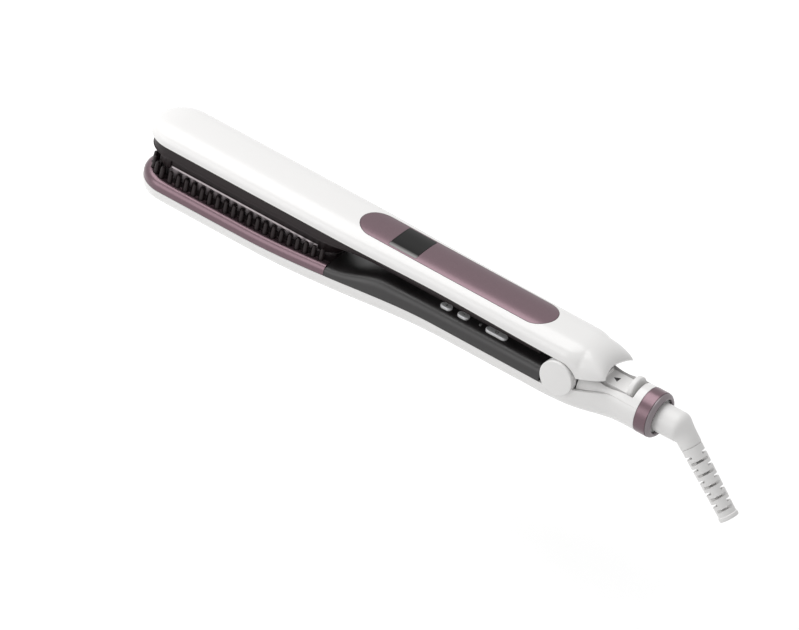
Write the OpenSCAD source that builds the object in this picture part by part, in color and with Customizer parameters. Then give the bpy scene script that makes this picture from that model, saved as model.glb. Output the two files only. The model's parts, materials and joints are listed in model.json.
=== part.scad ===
// Hair straightener with a brush: two hinged arms, heated plates and a swivelling cord exit.
// X runs from the tips of the arms to the cord, Y across the arms, and Z up.
// The origin is the middle of the flat underside of the brush end, which it lies on.

/* [Arms] */
// Distance from the hinge axis to the tip of both arms
arm_reach = 248; // [205:1:300]
// Width of both arms round the plates
tip_w = 34; // [28:0.1:41]
// Width of both arms at the grip
grip_w = 31; // [26:0.1:37.5]
// Length of the brush, from the tip
brush_len = 114; // [95:1:137]
// Wall of the moulded shells
wall = 1.8; // [1.5:0.1:2.2]
// Gap between pieces that meet but don't move
seam = 0.1; // [0.05:0.01:0.2]

/* [Heights] */
// Height at which the two plates meet
plate_z = 19; // [18:0.1:20]
// Height of the seam between the lower shell and the brush rim at the tip
rim_z = 8.2; // [8:0.1:9]
// Height of the brush rim's top face at the tip
rim_top = 13.8; // [13.4:0.1:14.4]
// Height of the underside of the grip
grip_base = 7.4; // [6.5:0.1:9]
// Height of the seam along the lower grip
grip_seam = 16.2; // [15.5:0.1:17]
// Height of the inner face of the lower grip
grip_top = 25; // [24.5:0.1:25.5]
// Height of the inner face of the upper arm's housing
housing_z = 29; // [28.5:0.1:30]
// Height of the lower edge of the upper shell
shell_z = 33.5; // [33:0.1:34.5]
// Height of the upper shell's crown over its lower edge
crown_h = 7.6; // [7:0.1:9.2]

/* [Hinge] */
// Height of the hinge axis
hinge_z = 24; // [23.6:0.1:24.4]
// Radius of the steel hinge pin
pin_r = 2; // [1.7:0.05:2.4]
// Running clearance of the pin in the upper arm's ears
pin_gap = 0.08; // [0.04:0.01:0.1]
// Radius of the round caps over the hinge
cap_r = 9.2; // [8.5:0.1:9.4]
// Thickness of the caps
cap_t = 1.5; // [1.2:0.1:1.9]
// Furthest that the upper arm opens, in degrees
open_angle = 12; // [10:0.5:14]

/* [Brush] */
// Spacing of the teeth along a row
tooth_pitch = 6; // [5:0.1:7.2]
// Radius of a tooth at its root
tooth_r = 1.25; // [1.04:0.01:1.5]
// Height of the outer teeth over the rim
tooth_h = 6.9; // [5.7:0.1:7.2]
// Width of the rim's top face round the bed of teeth
rim_lip = 4.9; // [4.1:0.1:5.1]
// Distance between the outer and the inner row of teeth
row_gap = 3; // [2.8:0.1:3.2]
// Clearance between the teeth and the plates
plate_gap = 0.35; // [0.3:0.05:0.5]

/* [Buttons] */
// Width of the three buttons
button_w = 4; // [3.4:0.1:4.8]
// Length of the plus and minus buttons
small_button_l = 6.4; // [5.4:0.1:7.6]
// Length of the power button
power_button_l = 12.3; // [10.2:0.1:14.7]
// Clearance round a button
button_gap = 0.2; // [0.15:0.01:0.3]
// Travel of a button
button_travel = 0.6; // [0.4:0.1:0.8]

/* [Inlay] */
// Length of the coloured inlay on the upper shell
inlay_len = 112.5; // [94:0.5:134]
// Width of the inlay
inlay_w = 20.4; // [17:0.1:22]
// Distance from the hinge axis to the near end of the inlay
inlay_start = 15; // [12:1:18]
// Length of the display window
window_len = 16; // [13:1:20]
// Width of the display window
window_w = 18.6; // [15.5:0.1:19]

/* [Cord exit] */
// Height of the cord exit's axis
tail_z = 20.8; // [20.4:0.1:21.2]
// Radius of the tail at the coloured ring
tail_r = 11.7; // [11.3:0.1:11.9]
// Distance from the hinge axis to the end of the tail
tail_len = 40.3; // [39:0.1:48]
// Width of the coloured ring
ring_w = 11.2; // [9.3:0.1:13.4]
// Radius of the swivelling spindle
spindle_r = 6.1; // [5.2:0.1:6.4]
// Running clearance of the spindle
spindle_gap = 0.08; // [0.04:0.01:0.1]
// Angle by which the cord exit droops, in degrees
droop = 44.7; // [30:0.1:55]
// Length of the strain relief
relief_len = 39.2; // [32:0.1:47]
// Radius of the cord's hole
cord_r = 3.2; // [2.7:0.1:3.8]
// Number of slots on each side of the strain relief
relief_slots = 5; // [4:1:6]
// Height of the deck on which the lock slides
lock_deck = 27; // [26.8:0.1:27.2]
// Width of the recess that holds the lock
recess_w = 16.4; // [14:0.1:16.6]
// Travel of the lock slider
lock_travel = 5.5; // [4:0.1:5.5]

/* [Hidden] */
$fn = 48;

tip_r = tip_w / 2;
grip_r = grip_w / 2;
brush_x = brush_len / 2;
tip_x = tip_r - brush_x;
hinge_x = arm_reach - brush_x;
tail_x = hinge_x + tail_len;
ring_x = tail_x + ring_w;
rise_x = brush_x + 66;
bend_x = brush_x - 48;
profile_n = 20;
first_angle = 8;
slip = 0.3;

// Eases from 0 at a to 1 at b
function ease(x, a, b) = let(t = min(1, max(0, (x - a) / (b - a)))) t * t * (3 - 2 * t);
function mix(a, b, t) = a + (b - a) * t;
// Signed power, which turns a circle into a squarer curve
function squash(v, p) = sign(v) * pow(abs(v), p);

// Half width of both arms at x, between the round tip and the tail
function arm_r(x) = mix(tip_r, grip_r, ease(x, brush_x, rise_x));
// Underside, seam and inner face of the lower arm at x
function base_z(x) = mix(0, grip_base, ease(x, bend_x + 10, rise_x + 4));
function seam_z(x) = mix(rim_z, grip_seam, ease(x, bend_x, rise_x - 4));
function rim_height(x) = rim_top + seam_z(x) - rim_z;
function inner_z(x) = mix(rim_height(brush_x), grip_top, ease(x, brush_x, brush_x + 32));

// An open profile over the top of an arm, from the near side to the far side
function dome(x, w, z, h, e, bow = 0) = [for (i = [0:profile_n])
    let(a = 180 * i / profile_n, y = -w * squash(cos(a), 2 / e))
    [x + bow * (y / max(w, 0.1)) * (y / max(w, 0.1)), y, z + h * squash(sin(a), 2 / e)]];
// An open profile under an arm, from the far side to the near side, flat at the bottom
function tray(x, w, z, h, e, flat = 1) = [for (i = [0:profile_n])
    let(a = 180 * i / profile_n)
    [x, w * squash(cos(a), 2 / e), z - min(h, h * flat * squash(sin(a), 2 / e))]];

// A thin wall between an outer and an inner list of profiles, as one closed surface
module shell_loft(outer, inner) {
    n = profile_n;
    m = len(outer) - 1;
    points = concat([for (s = outer) each s], [for (s = inner) each s]);
    function o(j, i) = j * (n + 1) + i;
    function k(j, i) = (m + 1 + j) * (n + 1) + i;
    quads = concat(
        [for (j = [0:m - 1], i = [0:n - 1]) [o(j, i), o(j, i + 1), o(j + 1, i + 1), o(j + 1, i)]],
        [for (j = [0:m - 1], i = [0:n - 1]) [k(j, i), k(j + 1, i), k(j + 1, i + 1), k(j, i + 1)]],
        [for (j = [0:m - 1]) [o(j, 0), o(j + 1, 0), k(j + 1, 0), k(j, 0)]],
        [for (j = [0:m - 1]) [o(j + 1, n), o(j, n), k(j, n), k(j + 1, n)]],
        [for (i = [0:n - 1]) [o(0, i + 1), o(0, i), k(0, i), k(0, i + 1)]],
        [for (i = [0:n - 1]) [o(m, i), o(m, i + 1), k(m, i + 1), k(m, i)]]);
    polyhedron(points, [for (q = quads) each [[q[0], q[1], q[2]], [q[0], q[2], q[3]]]], 4);
}

// A stadium whose round end lies at the tip, from the tip to x
module nose(r, x) {
    translate([tip_x, 0]) circle(r);
    translate([tip_x, -r]) square([x - tip_x, 2 * r]);
}
// A round ended bar from x0 to x1
module stadium(x0, x1, r) {
    translate([x0 + r, 0]) circle(r);
    translate([x1 - r, 0]) circle(r);
    translate([x0 + r, -r]) square([x1 - x0 - 2 * r, 2 * r]);
}
module slab(z0, z1) {
    translate([0, 0, z0]) linear_extrude(z1 - z0) children();
}
// A round ended bar with a rounded upper edge, or lower edge where edge is negative
module soft_bar(x0, x1, r, z0, z1, edge) {
    e = abs(edge);
    translate([0, 0, edge > 0 ? z0 : z1]) mirror([0, 0, edge > 0 ? 0 : 1]) {
        for (x = [x0 + r, x1 - r]) translate([x, 0, 0]) rotate_extrude() bar_side(r, z1 - z0, e);
        translate([x0 + r, 0, 0]) rotate([90, 0, 90]) linear_extrude(x1 - x0 - 2 * r) {
            bar_side(r, z1 - z0, e);
            mirror([1, 0]) bar_side(r, z1 - z0, e);
        }
    }
}
module bar_side(r, h, e) {
    square([r, h - e]);
    square([r - e, h]);
    translate([r - e, h - e]) circle(e, $fn = 24);
}
module along_x(x0, x1, r) {
    translate([x0, 0, 0]) rotate([0, 90, 0]) cylinder(h = x1 - x0, r = r);
}
module across(y0, y1, r) {
    translate([hinge_x, y1, hinge_z]) rotate([90, 0, 0]) cylinder(h = y1 - y0, r = r);
}

/* Lower arm */

function tip_angles() = [for (i = [0:8]) mix(first_angle, 90, i / 8)];
grip_xs = concat([for (i = [1:8]) mix(brush_x, rise_x, i / 8)],
                 [for (i = [1:3]) mix(rise_x, hinge_x - cap_r - 2, i / 3)]);
body_xs = concat([brush_x - 8, brush_x - 4, brush_x], grip_xs);
brush_xs = [for (i = [0:8]) mix(bend_x, brush_x, i / 8)];
cover_xs = [for (i = [0:9]) mix(hinge_x + cap_r + 0.6, tail_x, i / 9)];
tail_xs = concat([hinge_x - cap_r + 2, hinge_x], cover_xs);
tray_e = 2.8;

// The tail: half width, underside, middle, top and squareness of its section, and where the cover meets it
rear_x = hinge_x + 20.8;
rear_bow = 3.2;
rear_w = 12;
recess_r = recess_w / 2;
function tail_half(x) = mix(grip_r, tail_r, ease(x, hinge_x + 2, tail_x - 8));
function tail_base(x) = mix(grip_base, tail_z - tail_r, ease(x, hinge_x + 2, tail_x - 4));
function tail_mid(x) = mix(grip_seam, tail_z, ease(x, hinge_x - cap_r, hinge_x + cap_r));
function tail_seam(x) = mix(tail_mid(x), tail_z + 5.2, ease(x, hinge_x + 5, hinge_x + 30));
function tail_e(x) = mix(tray_e, 2, ease(x, hinge_x + 4, tail_x - 8));
// Height to which the rear edge of the upper shell comes down beside the recess when the arms are open
rear_reach = rear_x - hinge_x + rear_bow * pow(recess_r / rear_w, 2);
open_z = hinge_z + (shell_z - hinge_z) * cos(open_angle) - rear_reach * sin(open_angle);
low_top = tail_z + (open_z - 0.5 - tail_z) / sqrt(1 - pow(recess_r / tail_half(hinge_x + rear_reach), 2));
function tail_top(x) = mix(low_top, tail_z + tail_r, ease(x, hinge_x + 25, tail_x - 6));
function tail_split(x, t, z) = asin(pow((z - tail_mid(x)) / (tail_top(x) - tail_mid(x) - t), tail_e(x) / 2));
function tail_lower(x, t) = let(s = tail_split(x, t, tail_seam(x)), down = tail_mid(x) - tail_base(x) - t,
                                up = tail_top(x) - tail_mid(x) - t, flat = mix(1.08, 1, ease(x, hinge_x, tail_x)))
    [for (i = [0:profile_n]) let(a = mix(-s, 180 + s, i / profile_n), v = squash(sin(a), 2 / tail_e(x)))
        [x, (tail_half(x) - t) * squash(cos(a), 2 / tail_e(x)),
         tail_mid(x) - (v < 0 ? up * v : min(down, down * flat * v))]];
function tail_upper(x, t) = let(s = tail_split(x, t, tail_seam(x) + seam), up = tail_top(x) - tail_mid(x) - t)
    [for (i = [0:profile_n]) let(a = mix(s, 180 - s, i / profile_n))
        [x, -(tail_half(x) - t) * squash(cos(a), 2 / tail_e(x)), tail_mid(x) + up * squash(sin(a), 2 / tail_e(x))]];

function lower_sections(t) = concat(
    [for (a = tip_angles()) let(s = pow(sin(a), 0.55))
        tray(tip_x - (tip_r - t) * cos(a), (tip_r - t) * sin(a), rim_z,
             (t > 0 && a == first_angle) ? 0 : (rim_z - t) * s, tray_e, 1.08)],
    [for (x = concat(brush_xs, grip_xs))
        tray(x, arm_r(x) - t, seam_z(x), seam_z(x) - base_z(x) - t, tray_e, 1.08)],
    [for (x = tail_xs) tail_lower(x, t)]);

module hinge_cheeks() {
    for (side = [-1, 1])
        across(side > 0 ? grip_r - 2.9 : -grip_r + seam, side > 0 ? grip_r - seam : -grip_r + 2.9, cap_r);
}
module screw_spots() {
    for (x = [brush_x + 36, hinge_x - 15]) translate([x, 0, 0]) children();
}
module lower_shell() {
    color("whitesmoke") difference() {
        union() {
            shell_loft(lower_sections(0), lower_sections(wall));
            hinge_cheeks();
            screw_spots() slab(grip_base - 2, grip_top - 3.5) circle(3);
        }
        across(-grip_r - 1, grip_r + 1, pin_r + 0.02);
        screw_spots() translate([0, 0, grip_base + 3]) cylinder(h = grip_top, r = 1.1);
    }
}

// The opening for the teeth, round at the tip and square with soft corners at the other end
module bed_plan(shrink) {
    r = tip_r - rim_lip - shrink;
    end = brush_x - 2.6 - shrink;
    corner = 4;
    nose(r, end - corner);
    translate([tip_x, -r + corner]) square([end - tip_x, 2 * (r - corner)]);
    for (side = [-1, 1]) translate([end - corner, side * (r - corner)]) circle(corner);
}
// Section of the rim as distance from its middle line and height over its top face, from inside to outside
rim_round = 2.2;
rim_t = 1.6;
rim_section = concat(
    [[tip_r - rim_lip, -rim_t], [tip_r - rim_lip, 0]],
    [for (a = [90:-15:0]) [tip_r - rim_round + rim_round * cos(a), -rim_round + rim_round * sin(a)]],
    [[tip_r, rim_z + seam - rim_top], [tip_r - wall, rim_z + seam - rim_top], [tip_r - wall, -rim_t - 1]],
    [[tip_r - wall - 1, -rim_t]]);
// Middle line of the rim: along the near side to the tip, round it and back, with a direction at each point
rim_path = concat(
    [for (i = [len(brush_xs) - 1:-1:0]) [min(brush_xs[i], brush_x - seam), 0, -90]],
    [for (a = [-90:-10:-270]) [tip_x, 0, a]],
    [for (i = [0:len(brush_xs) - 1]) [min(brush_xs[i], brush_x - seam), 0, -270]]);
module rim_cover() {
    n = len(rim_section);
    m = len(rim_path) - 1;
    points = [for (p = rim_path, q = rim_section)
        [p[0] + q[0] * cos(p[2]), q[0] * sin(p[2]), rim_height(p[0]) + q[1]]];
    walls = [for (j = [0:m - 1], i = [0:n - 1]) let(k = (i + 1) % n)
        each [[j * n + i, (j + 1) * n + k, (j + 1) * n + i], [j * n + i, j * n + k, (j + 1) * n + k]]];
    ends = [[for (i = [n - 1:-1:0]) i], [for (i = [0:n - 1]) m * n + i]];
    end_z = rim_height(brush_x);
    color("rosybrown") {
        polyhedron(points, concat(walls, ends), 4);
        slab(end_z - rim_t, end_z - 0.2)
            translate([brush_x - 2.6, -tip_r + wall]) square([2.6 - seam, 2 * (tip_r - wall)]);
    }
}

housing_xs = concat([brush_x + seam], grip_xs, [hinge_x - 1]);
function housing_sections(t) = [for (i = [0:len(housing_xs) - 1])
    let(shut = t > 0 && i == 0, x = housing_xs[i] + (shut ? t : 0))
    dome(x, arm_r(x) - t, seam_z(x) + seam, shut ? 0 : inner_z(x) - seam_z(x) - seam - t, 4)];

button_y = -9.2 * grip_w / 31;
plus_x = hinge_x - 69;
minus_x = hinge_x - 59;
power_x = hinge_x - 39.6;
led_x = power_x - power_button_l / 2 - 3.4;
module button_outline(x, l, grow) {
    r = button_w / 2 + grow;
    translate([0, button_y]) stadium(x - l / 2 - grow, x + l / 2 + grow, r);
}
spring_x = hinge_x - 27;
spring_seat = 4.2;
module lower_housing() {
    color([0.16, 0.15, 0.15]) difference() {
        union() {
            shell_loft(housing_sections(0), housing_sections(wall));
            slab(grip_top - 4, grip_top - 0.5) translate([spring_x, 0]) circle(spring_seat + 1.4);
            screw_spots() slab(grip_top - 3.4, grip_top - 0.5) circle(3.2);
        }
        slab(grip_top - 3, grip_top + 1) {
            button_outline(plus_x, small_button_l, button_gap);
            button_outline(minus_x, small_button_l, button_gap);
            button_outline(power_x, power_button_l, button_gap);
        }
        slab(grip_top - 3, grip_top + 1) translate([spring_x, 0]) circle(spring_seat);
        across(-grip_r - 1, grip_r + 1, cap_r + 0.8);
        translate([hinge_x - 9.5, -grip_r, grip_seam - 2]) cube([20, grip_w, 14]);
        translate([led_x, button_y, grip_top - 3]) cylinder(h = 5, r = 0.75);
        screw_spots() slab(grip_top - 5, grip_top + 1) circle(1.3);
        screw_spots() slab(grip_top - 1.7, grip_top + 1) circle(2.3);
    }
}

lock_x0 = hinge_x + 14.9;
lock_x1 = hinge_x + 36.4;
lock_foot = [lock_x0 + 11, lock_x0 + 16];
deck_t = 1.4;
recess_x1 = lock_x1 + slip;
// Lower edge of the cover beside the recess
cover_z = tail_seam(tail_x) + seam;
module deck_plan(half) {
    difference() {
        translate([cover_xs[0], -half]) square([recess_x1 - cover_xs[0], 2 * half]);
        translate([lock_foot[0] - lock_travel - slip, -2.1])
            square([lock_foot[1] - lock_foot[0] + lock_travel + 2 * slip, 4.2]);
    }
}
module tail_cover() {
    color("whitesmoke") {
        difference() {
            shell_loft([for (x = cover_xs) tail_upper(x, 0)], [for (x = cover_xs) tail_upper(x, wall)]);
            slab(lock_deck - deck_t, tail_z + tail_r + 2) translate([hinge_x, -recess_r])
                square([recess_x1 - hinge_x, recess_w]);
        }
        slab(cover_z, lock_deck) deck_plan(recess_r + 0.1);
        slab(lock_deck - deck_t, cover_z) deck_plan(recess_r - 0.5);
        intersection() {
            translate([0, 0, tail_z]) along_x(recess_x1, recess_x1 + 0.8, tail_r - wall + 0.1);
            slab(cover_z, tail_z + tail_r) translate([recess_x1, -tail_r]) square([1, 2 * tail_r]);
        }
    }
}

bed_z = rim_top - 0.5;
outer_row = tip_r - rim_lip - tooth_r - 0.15;
inner_row = outer_row - row_gap;
first_tooth = brush_x - 7.5;
upper_plate_w = 2 * (outer_row - tooth_r - plate_gap);
lower_plate_w = 2 * (inner_row - 0.85 * tooth_r - plate_gap);
row_count = floor((first_tooth - tip_x - 0.8 * tooth_pitch) / tooth_pitch) + 1;
module tooth(h, r) {
    top = r * 0.78;
    rotate_extrude($fn = 24) {
        polygon([[0, 0], [r, 0], [top, h - top], [0, h - top]]);
        translate([0, h - top]) intersection() {
            circle(top);
            square(top);
        }
    }
}
module brush_teeth() {
    deep = bed_z - rim_top + rim_t + 0.3 + 2 * seam;
    for (side = [-1, 1], i = [0:row_count - 1]) {
        x = first_tooth - i * tooth_pitch;
        translate([x, side * outer_row, bed_z - deep]) tooth(rim_top + tooth_h - bed_z + deep, tooth_r);
        translate([x - tooth_pitch / 2, side * inner_row, bed_z - deep])
            tooth(plate_z - 0.6 - bed_z + deep, tooth_r * 0.85);
    }
    for (a = [90:30:270]) translate([tip_x, 0, bed_z - deep]) rotate([0, 0, a])
        translate([outer_row, 0, 0]) tooth(rim_top + tooth_h - bed_z + deep, tooth_r);
    for (a = [135:45:225]) translate([tip_x, 0, bed_z - deep]) rotate([0, 0, a])
        translate([inner_row, 0, 0]) tooth(plate_z - 0.6 - bed_z + deep, tooth_r * 0.85);
}
lower_plate_x0 = tip_x + 3;
lower_plate_x1 = brush_x - 9;
module brush_frame() {
    color([0.2, 0.14, 0.15]) union() {
        difference() {
            union() {
                slab(rim_top - 3.2, rim_top - rim_t - seam) nose(tip_r - wall - 1.1, brush_x - 2.4);
                intersection() {
                    slab(rim_top - 2, rim_top + 5) bed_plan(seam);
                    rotate([90, 0, 0]) linear_extrude(2 * tip_r, center = true) polygon(concat(
                        [[tip_x - tip_r, rim_top - 3], [tip_x - tip_r, bed_z]],
                        [for (x = brush_xs) [x, rim_height(x) - 0.5]], [[brush_x, rim_top - 3]]));
                }
            }
            slab(rim_top - 5, rim_top + 5)
                stadium(lower_plate_x0 - 0.2, lower_plate_x1 + 0.2, lower_plate_w / 2 + 0.2);
        }
        brush_teeth();
    }
}

module lower_plate() {
    color("silver") difference() {
        soft_bar(lower_plate_x0, lower_plate_x1, lower_plate_w / 2, rim_top - 4.5, plate_z - 0.15, 0.8);
        slab(rim_top - 5, rim_top - 1)
            stadium(lower_plate_x0 + 2, lower_plate_x1 - 2, lower_plate_w / 2 - 2);
    }
}
module lower_heater() {
    color("goldenrod") slab(rim_top - 6.5, rim_top - 1.2)
        translate([lower_plate_x0 + 12, -4]) square([lower_plate_x1 - lower_plate_x0 - 24, 8]);
    color("dimgray") slab(base_z(lower_plate_x1 - 8) + wall + slip, rim_top - 6.5 - seam)
        translate([lower_plate_x0 + 8, -5]) square([lower_plate_x1 - lower_plate_x0 - 16, 10]);
}

board_z = grip_top - 6.6;
module control_board() {
    color("seagreen") slab(board_z - 1.6, board_z)
        translate([plus_x - 14, -grip_r + 3.4]) square([50, grip_w - 6.8]);
    color("dimgray") slab(grip_base + wall + 0.4, board_z - 1.6)
        for (x = [plus_x - 10, plus_x + 26]) translate([x, 0]) square([3, 10], center = true);
}
module power_led() {
    color("dimgray") translate([led_x, button_y, board_z]) cylinder(h = grip_top + 0.1 - board_z, r = 0.7);
}
module tact_switches() {
    color("darkgray") for (x = [plus_x, minus_x, power_x]) {
        slab(board_z, board_z + 2) translate([x, button_y]) square([5, 4], center = true);
        slab(board_z + 2, board_z + 2.4) translate([x, button_y]) circle(1);
    }
}
module button(x, l) {
    stem = board_z + 2.4 + button_travel + 0.1;
    slab(grip_top - 2.2, grip_top + 0.7) button_outline(x, l, 0);
    slab(stem, grip_top - 1) translate([x, button_y]) circle(1.2);
}
module plus_button() {
    color("gainsboro") button(plus_x, small_button_l);
}
module minus_button() {
    color("gainsboro") button(minus_x, small_button_l);
}
module power_button() {
    color("gainsboro") button(power_x, power_button_l);
}

module hinge_pin() {
    color("silver") across(-grip_r + seam, grip_r - seam, pin_r);
}
module hinge_cap(side) {
    translate([hinge_x, side * grip_r, hinge_z]) rotate([-side * 90, 0, 0]) rotate_extrude()
        polygon([[0, 0], [cap_r, 0], [cap_r, cap_t - 0.5], [cap_r - 0.5, cap_t], [0, cap_t]]);
}
module hinge_cap_near() {
    color("white") hinge_cap(-1);
}
module hinge_cap_far() {
    color("white") hinge_cap(1);
}

socket_x0 = tail_x - 1.2;
socket_x1 = ring_x - 1.9;
module swivel_socket() {
    color("lightgray") translate([0, 0, tail_z]) difference() {
        along_x(socket_x0, socket_x1, tail_r - wall - seam);
        along_x(socket_x0 - 1, socket_x1 + 1, spindle_r + spindle_gap);
    }
}
module accent_ring() {
    bore = tail_r - wall;
    color("rosybrown") translate([tail_x, 0, tail_z]) rotate([0, 90, 0]) rotate_extrude()
        polygon([[bore, 2 * seam], [tail_r + 0.1, 2 * seam], [tail_r + 0.1, ring_w - 4],
                 [tail_r + 0.5, ring_w - 3.4], [tail_r + 0.5, ring_w - 1], [tail_r - 0.3, ring_w],
                 [bore - 0.2, ring_w], [bore - 1.2, ring_w - 1.2], [bore - 1.2, ring_w - 1.7], [bore, ring_w - 1.7]]);
}
module lower_screws() {
    color("dimgray") screw_spots() {
        slab(grip_base + 4, grip_top - 1) circle(1);
        slab(grip_top - 1.6, grip_top - 0.4) circle(2);
    }
}

coil_turns = 4;
coil_wire = 0.45;
coil_r = 3.2;
coil_steps = 8;
function helix(t, z0, z1) = [coil_r * cos(360 * coil_turns * t), coil_r * sin(360 * coil_turns * t),
                             mix(z0, z1, t)];
module coil(z0, z1) {
    steps = coil_turns * coil_steps;
    sides = 6;
    rings = [for (j = [0:steps]) let(
        c = helix(j / steps, z0, z1),
        radial = [c[0], c[1], 0] / coil_r)
        for (i = [0:sides - 1]) let(a = 360 * i / sides)
            c + coil_wire * (cos(a) * radial + [0, 0, sin(a)])];
    walls = [for (j = [0:steps - 1], i = [0:sides - 1]) let(n = (i + 1) % sides)
        each [[j * sides + i, j * sides + n, (j + 1) * sides + n],
              [j * sides + i, (j + 1) * sides + n, (j + 1) * sides + i]]];
    start = [for (i = [1:sides - 2]) [0, i + 1, i]];
    end = [for (i = [1:sides - 2]) [steps * sides, steps * sides + i, steps * sides + i + 1]];
    polyhedron(rings, concat(walls, start, end), 4);
}
coil_z0 = grip_top - 4 + coil_wire + 1.1;
coil_z1 = housing_z - coil_wire - 0.1;
// Least gap of the spring to itself, measured between points at least half a turn apart
coil_points = [for (j = [0:coil_turns * coil_steps]) helix(j / (coil_turns * coil_steps), coil_z0, coil_z1)];
coil_gap = min([for (i = [0:len(coil_points) - 1], j = [i + coil_steps / 2:1:len(coil_points) - 1])
    norm(coil_points[i] - coil_points[j]) - 2 * coil_wire]);
echo(opening_spring_least_gap = coil_gap);
module opening_spring() {
    color("silver") translate([spring_x, 0, 0]) coil(coil_z0, coil_z1);
}

/* Upper arm */

dome_e = 4;
function rear_half(x) = mix(grip_r, rear_w, ease(x, hinge_x, rear_x + 2));
function rear_drop(x) = sqrt(max(0.01, 1 - pow(max(0, x - hinge_x - 3) / (rear_x - hinge_x - 2.85), 2.2)));
rear_angles = [for (i = [0:8]) i / 8];
function upper_sections(t) = concat(
    [for (a = tip_angles()) let(s = pow(sin(a), 0.55))
        dome(tip_x - (tip_r - t) * cos(a), (tip_r - t) * sin(a), shell_z,
             (t > 0 && a == first_angle) ? 0 : (crown_h - t) * s, dome_e)],
    [for (x = body_xs) dome(x, arm_r(x) - t, shell_z, crown_h - t, dome_e)],
    [for (i = rear_angles) let(q = sin(90 * i), x = mix(hinge_x - cap_r, rear_x - (t > 0 ? t : 0), q))
        dome(x, rear_half(x) - t, shell_z, (t > 0 && i == 1) ? 0 : max(0.6, crown_h * rear_drop(x) - t),
             dome_e, rear_bow * ease(x, hinge_x + 2, rear_x))]);
inlay_x1 = hinge_x - inlay_start;
inlay_x0 = inlay_x1 - inlay_len;
window_x0 = inlay_x0 + 21;
module inlay_plan(grow) {
    stadium(inlay_x0 - grow, inlay_x1 + grow, inlay_w / 2 + grow);
}
module window_plan(grow) {
    translate([window_x0 - grow, -window_w / 2 - grow]) square([window_len + 2 * grow, window_w + 2 * grow]);
}
module crown(from, to) {
    outer = upper_sections(0);
    inner = upper_sections(wall);
    shell_loft([for (j = [from:to]) outer[j]], [for (j = [from:to]) inner[j]]);
}
crown_last = len(upper_sections(0)) - 1;
inlay_first = len(tip_angles()) + 1;
inlay_last = len(tip_angles()) + len(body_xs) - 1;
module upper_shell() {
    color("whitesmoke") difference() {
        crown(0, crown_last);
        slab(shell_z + 1, shell_z + crown_h + 5) inlay_plan(seam);
    }
}
module inlay_panel() {
    color("rosybrown") difference() {
        intersection() {
            crown(inlay_first, inlay_last);
            slab(shell_z + 1, shell_z + crown_h + 5) inlay_plan(0);
        }
        slab(shell_z, shell_z + crown_h + 5) window_plan(seam);
    }
}
module display_window() {
    color([0.08, 0.08, 0.08]) intersection() {
        crown(inlay_first, inlay_last);
        slab(shell_z + 1, shell_z + crown_h + 5) window_plan(0);
    }
}

housing_end = hinge_x - 13;
tray_inset = wall + 0.2;
function upper_half(x) = mix(tip_r - tray_inset, grip_r - 3, ease(x, brush_x, brush_x + 26));
housing_depth = shell_z + 1.4 - housing_z;
upper_xs = concat([for (i = [0:5]) mix(brush_x, brush_x + 26, i / 5)], [housing_end]);
function upper_tray(t) = concat(
    [for (a = tip_angles()) let(r = tip_r - tray_inset - t)
        tray(tip_x - r * cos(a), r * sin(a), shell_z + 1.4,
             (t > 0 && a == first_angle) ? 0 : housing_depth - t, 6)],
    [for (x = upper_xs)
        tray(x, upper_half(x) - t, shell_z + 1.4, housing_depth - t, 6)]);
module upper_screw_spots() {
    for (x = [brush_x + 30, hinge_x - 40]) translate([x, 0, 0]) children();
}
module upper_housing() {
    color([0.16, 0.15, 0.15]) difference() {
        shell_loft(upper_tray(0), upper_tray(wall));
        upper_screw_spots() translate([0, 0, housing_z - 1]) cylinder(h = 8, r = 1.3);
    }
}
carrier_x0 = tip_x - 3;
carrier_x1 = brush_x - 6;
carrier_r = upper_plate_w / 2 + 1.2;
module plate_carrier() {
    color([0.2, 0.17, 0.18]) difference() {
        soft_bar(carrier_x0, carrier_x1, carrier_r, plate_z + 2.4, housing_z - seam, -0.9);
        slab(plate_z, plate_z + 7) stadium(carrier_x0 + 3, carrier_x1 - 3, upper_plate_w / 2 - 1.6);
    }
}
module upper_plate() {
    color("silver") {
        soft_bar(carrier_x0 + 1.2, carrier_x1 - 1.2, upper_plate_w / 2, plate_z + 0.15, plate_z + 2.3, -0.8);
        slab(plate_z + 2, plate_z + 3.6)
            stadium(carrier_x0 + 3.2, carrier_x1 - 3.2, upper_plate_w / 2 - 1.8);
    }
}
module upper_heater() {
    color("goldenrod") slab(plate_z + 3.7, plate_z + 6.8)
        translate([carrier_x0 + 14, -5]) square([carrier_x1 - carrier_x0 - 28, 10]);
}
catch_z = housing_z + wall + seam - 0.7;
// Length of the lock's catch behind the hinge axis, which stays over the deck when the arms are open
catch_len = (hinge_z - lock_deck - 0.4 + (catch_z - hinge_z) * cos(open_angle)) / sin(open_angle);
ear_in = 8.6;
ear_out = grip_r - 3.3;
module hinge_bracket() {
    color("dimgray") difference() {
        union() {
            slab(housing_z + wall + seam, shell_z - 0.2) {
                translate([housing_end - 14, -grip_r + 8]) square([20, grip_w - 16]);
                translate([housing_end + 0.4, -ear_out]) square([hinge_x + 6.8 - housing_end, 2 * ear_out]);
            }
            slab(catch_z, shell_z - 0.2) translate([hinge_x + 5, -6]) square([catch_len - 5, 12]);
            for (side = [-1, 1]) {
                across(side > 0 ? ear_in : -ear_out, side > 0 ? ear_out : -ear_in, 6);
                translate([hinge_x - 6, side > 0 ? ear_in : -ear_out, hinge_z])
                    cube([12, ear_out - ear_in, shell_z - 0.2 - hinge_z]);
            }
        }
        across(-grip_r, grip_r, pin_r + pin_gap);
    }
}
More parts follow.
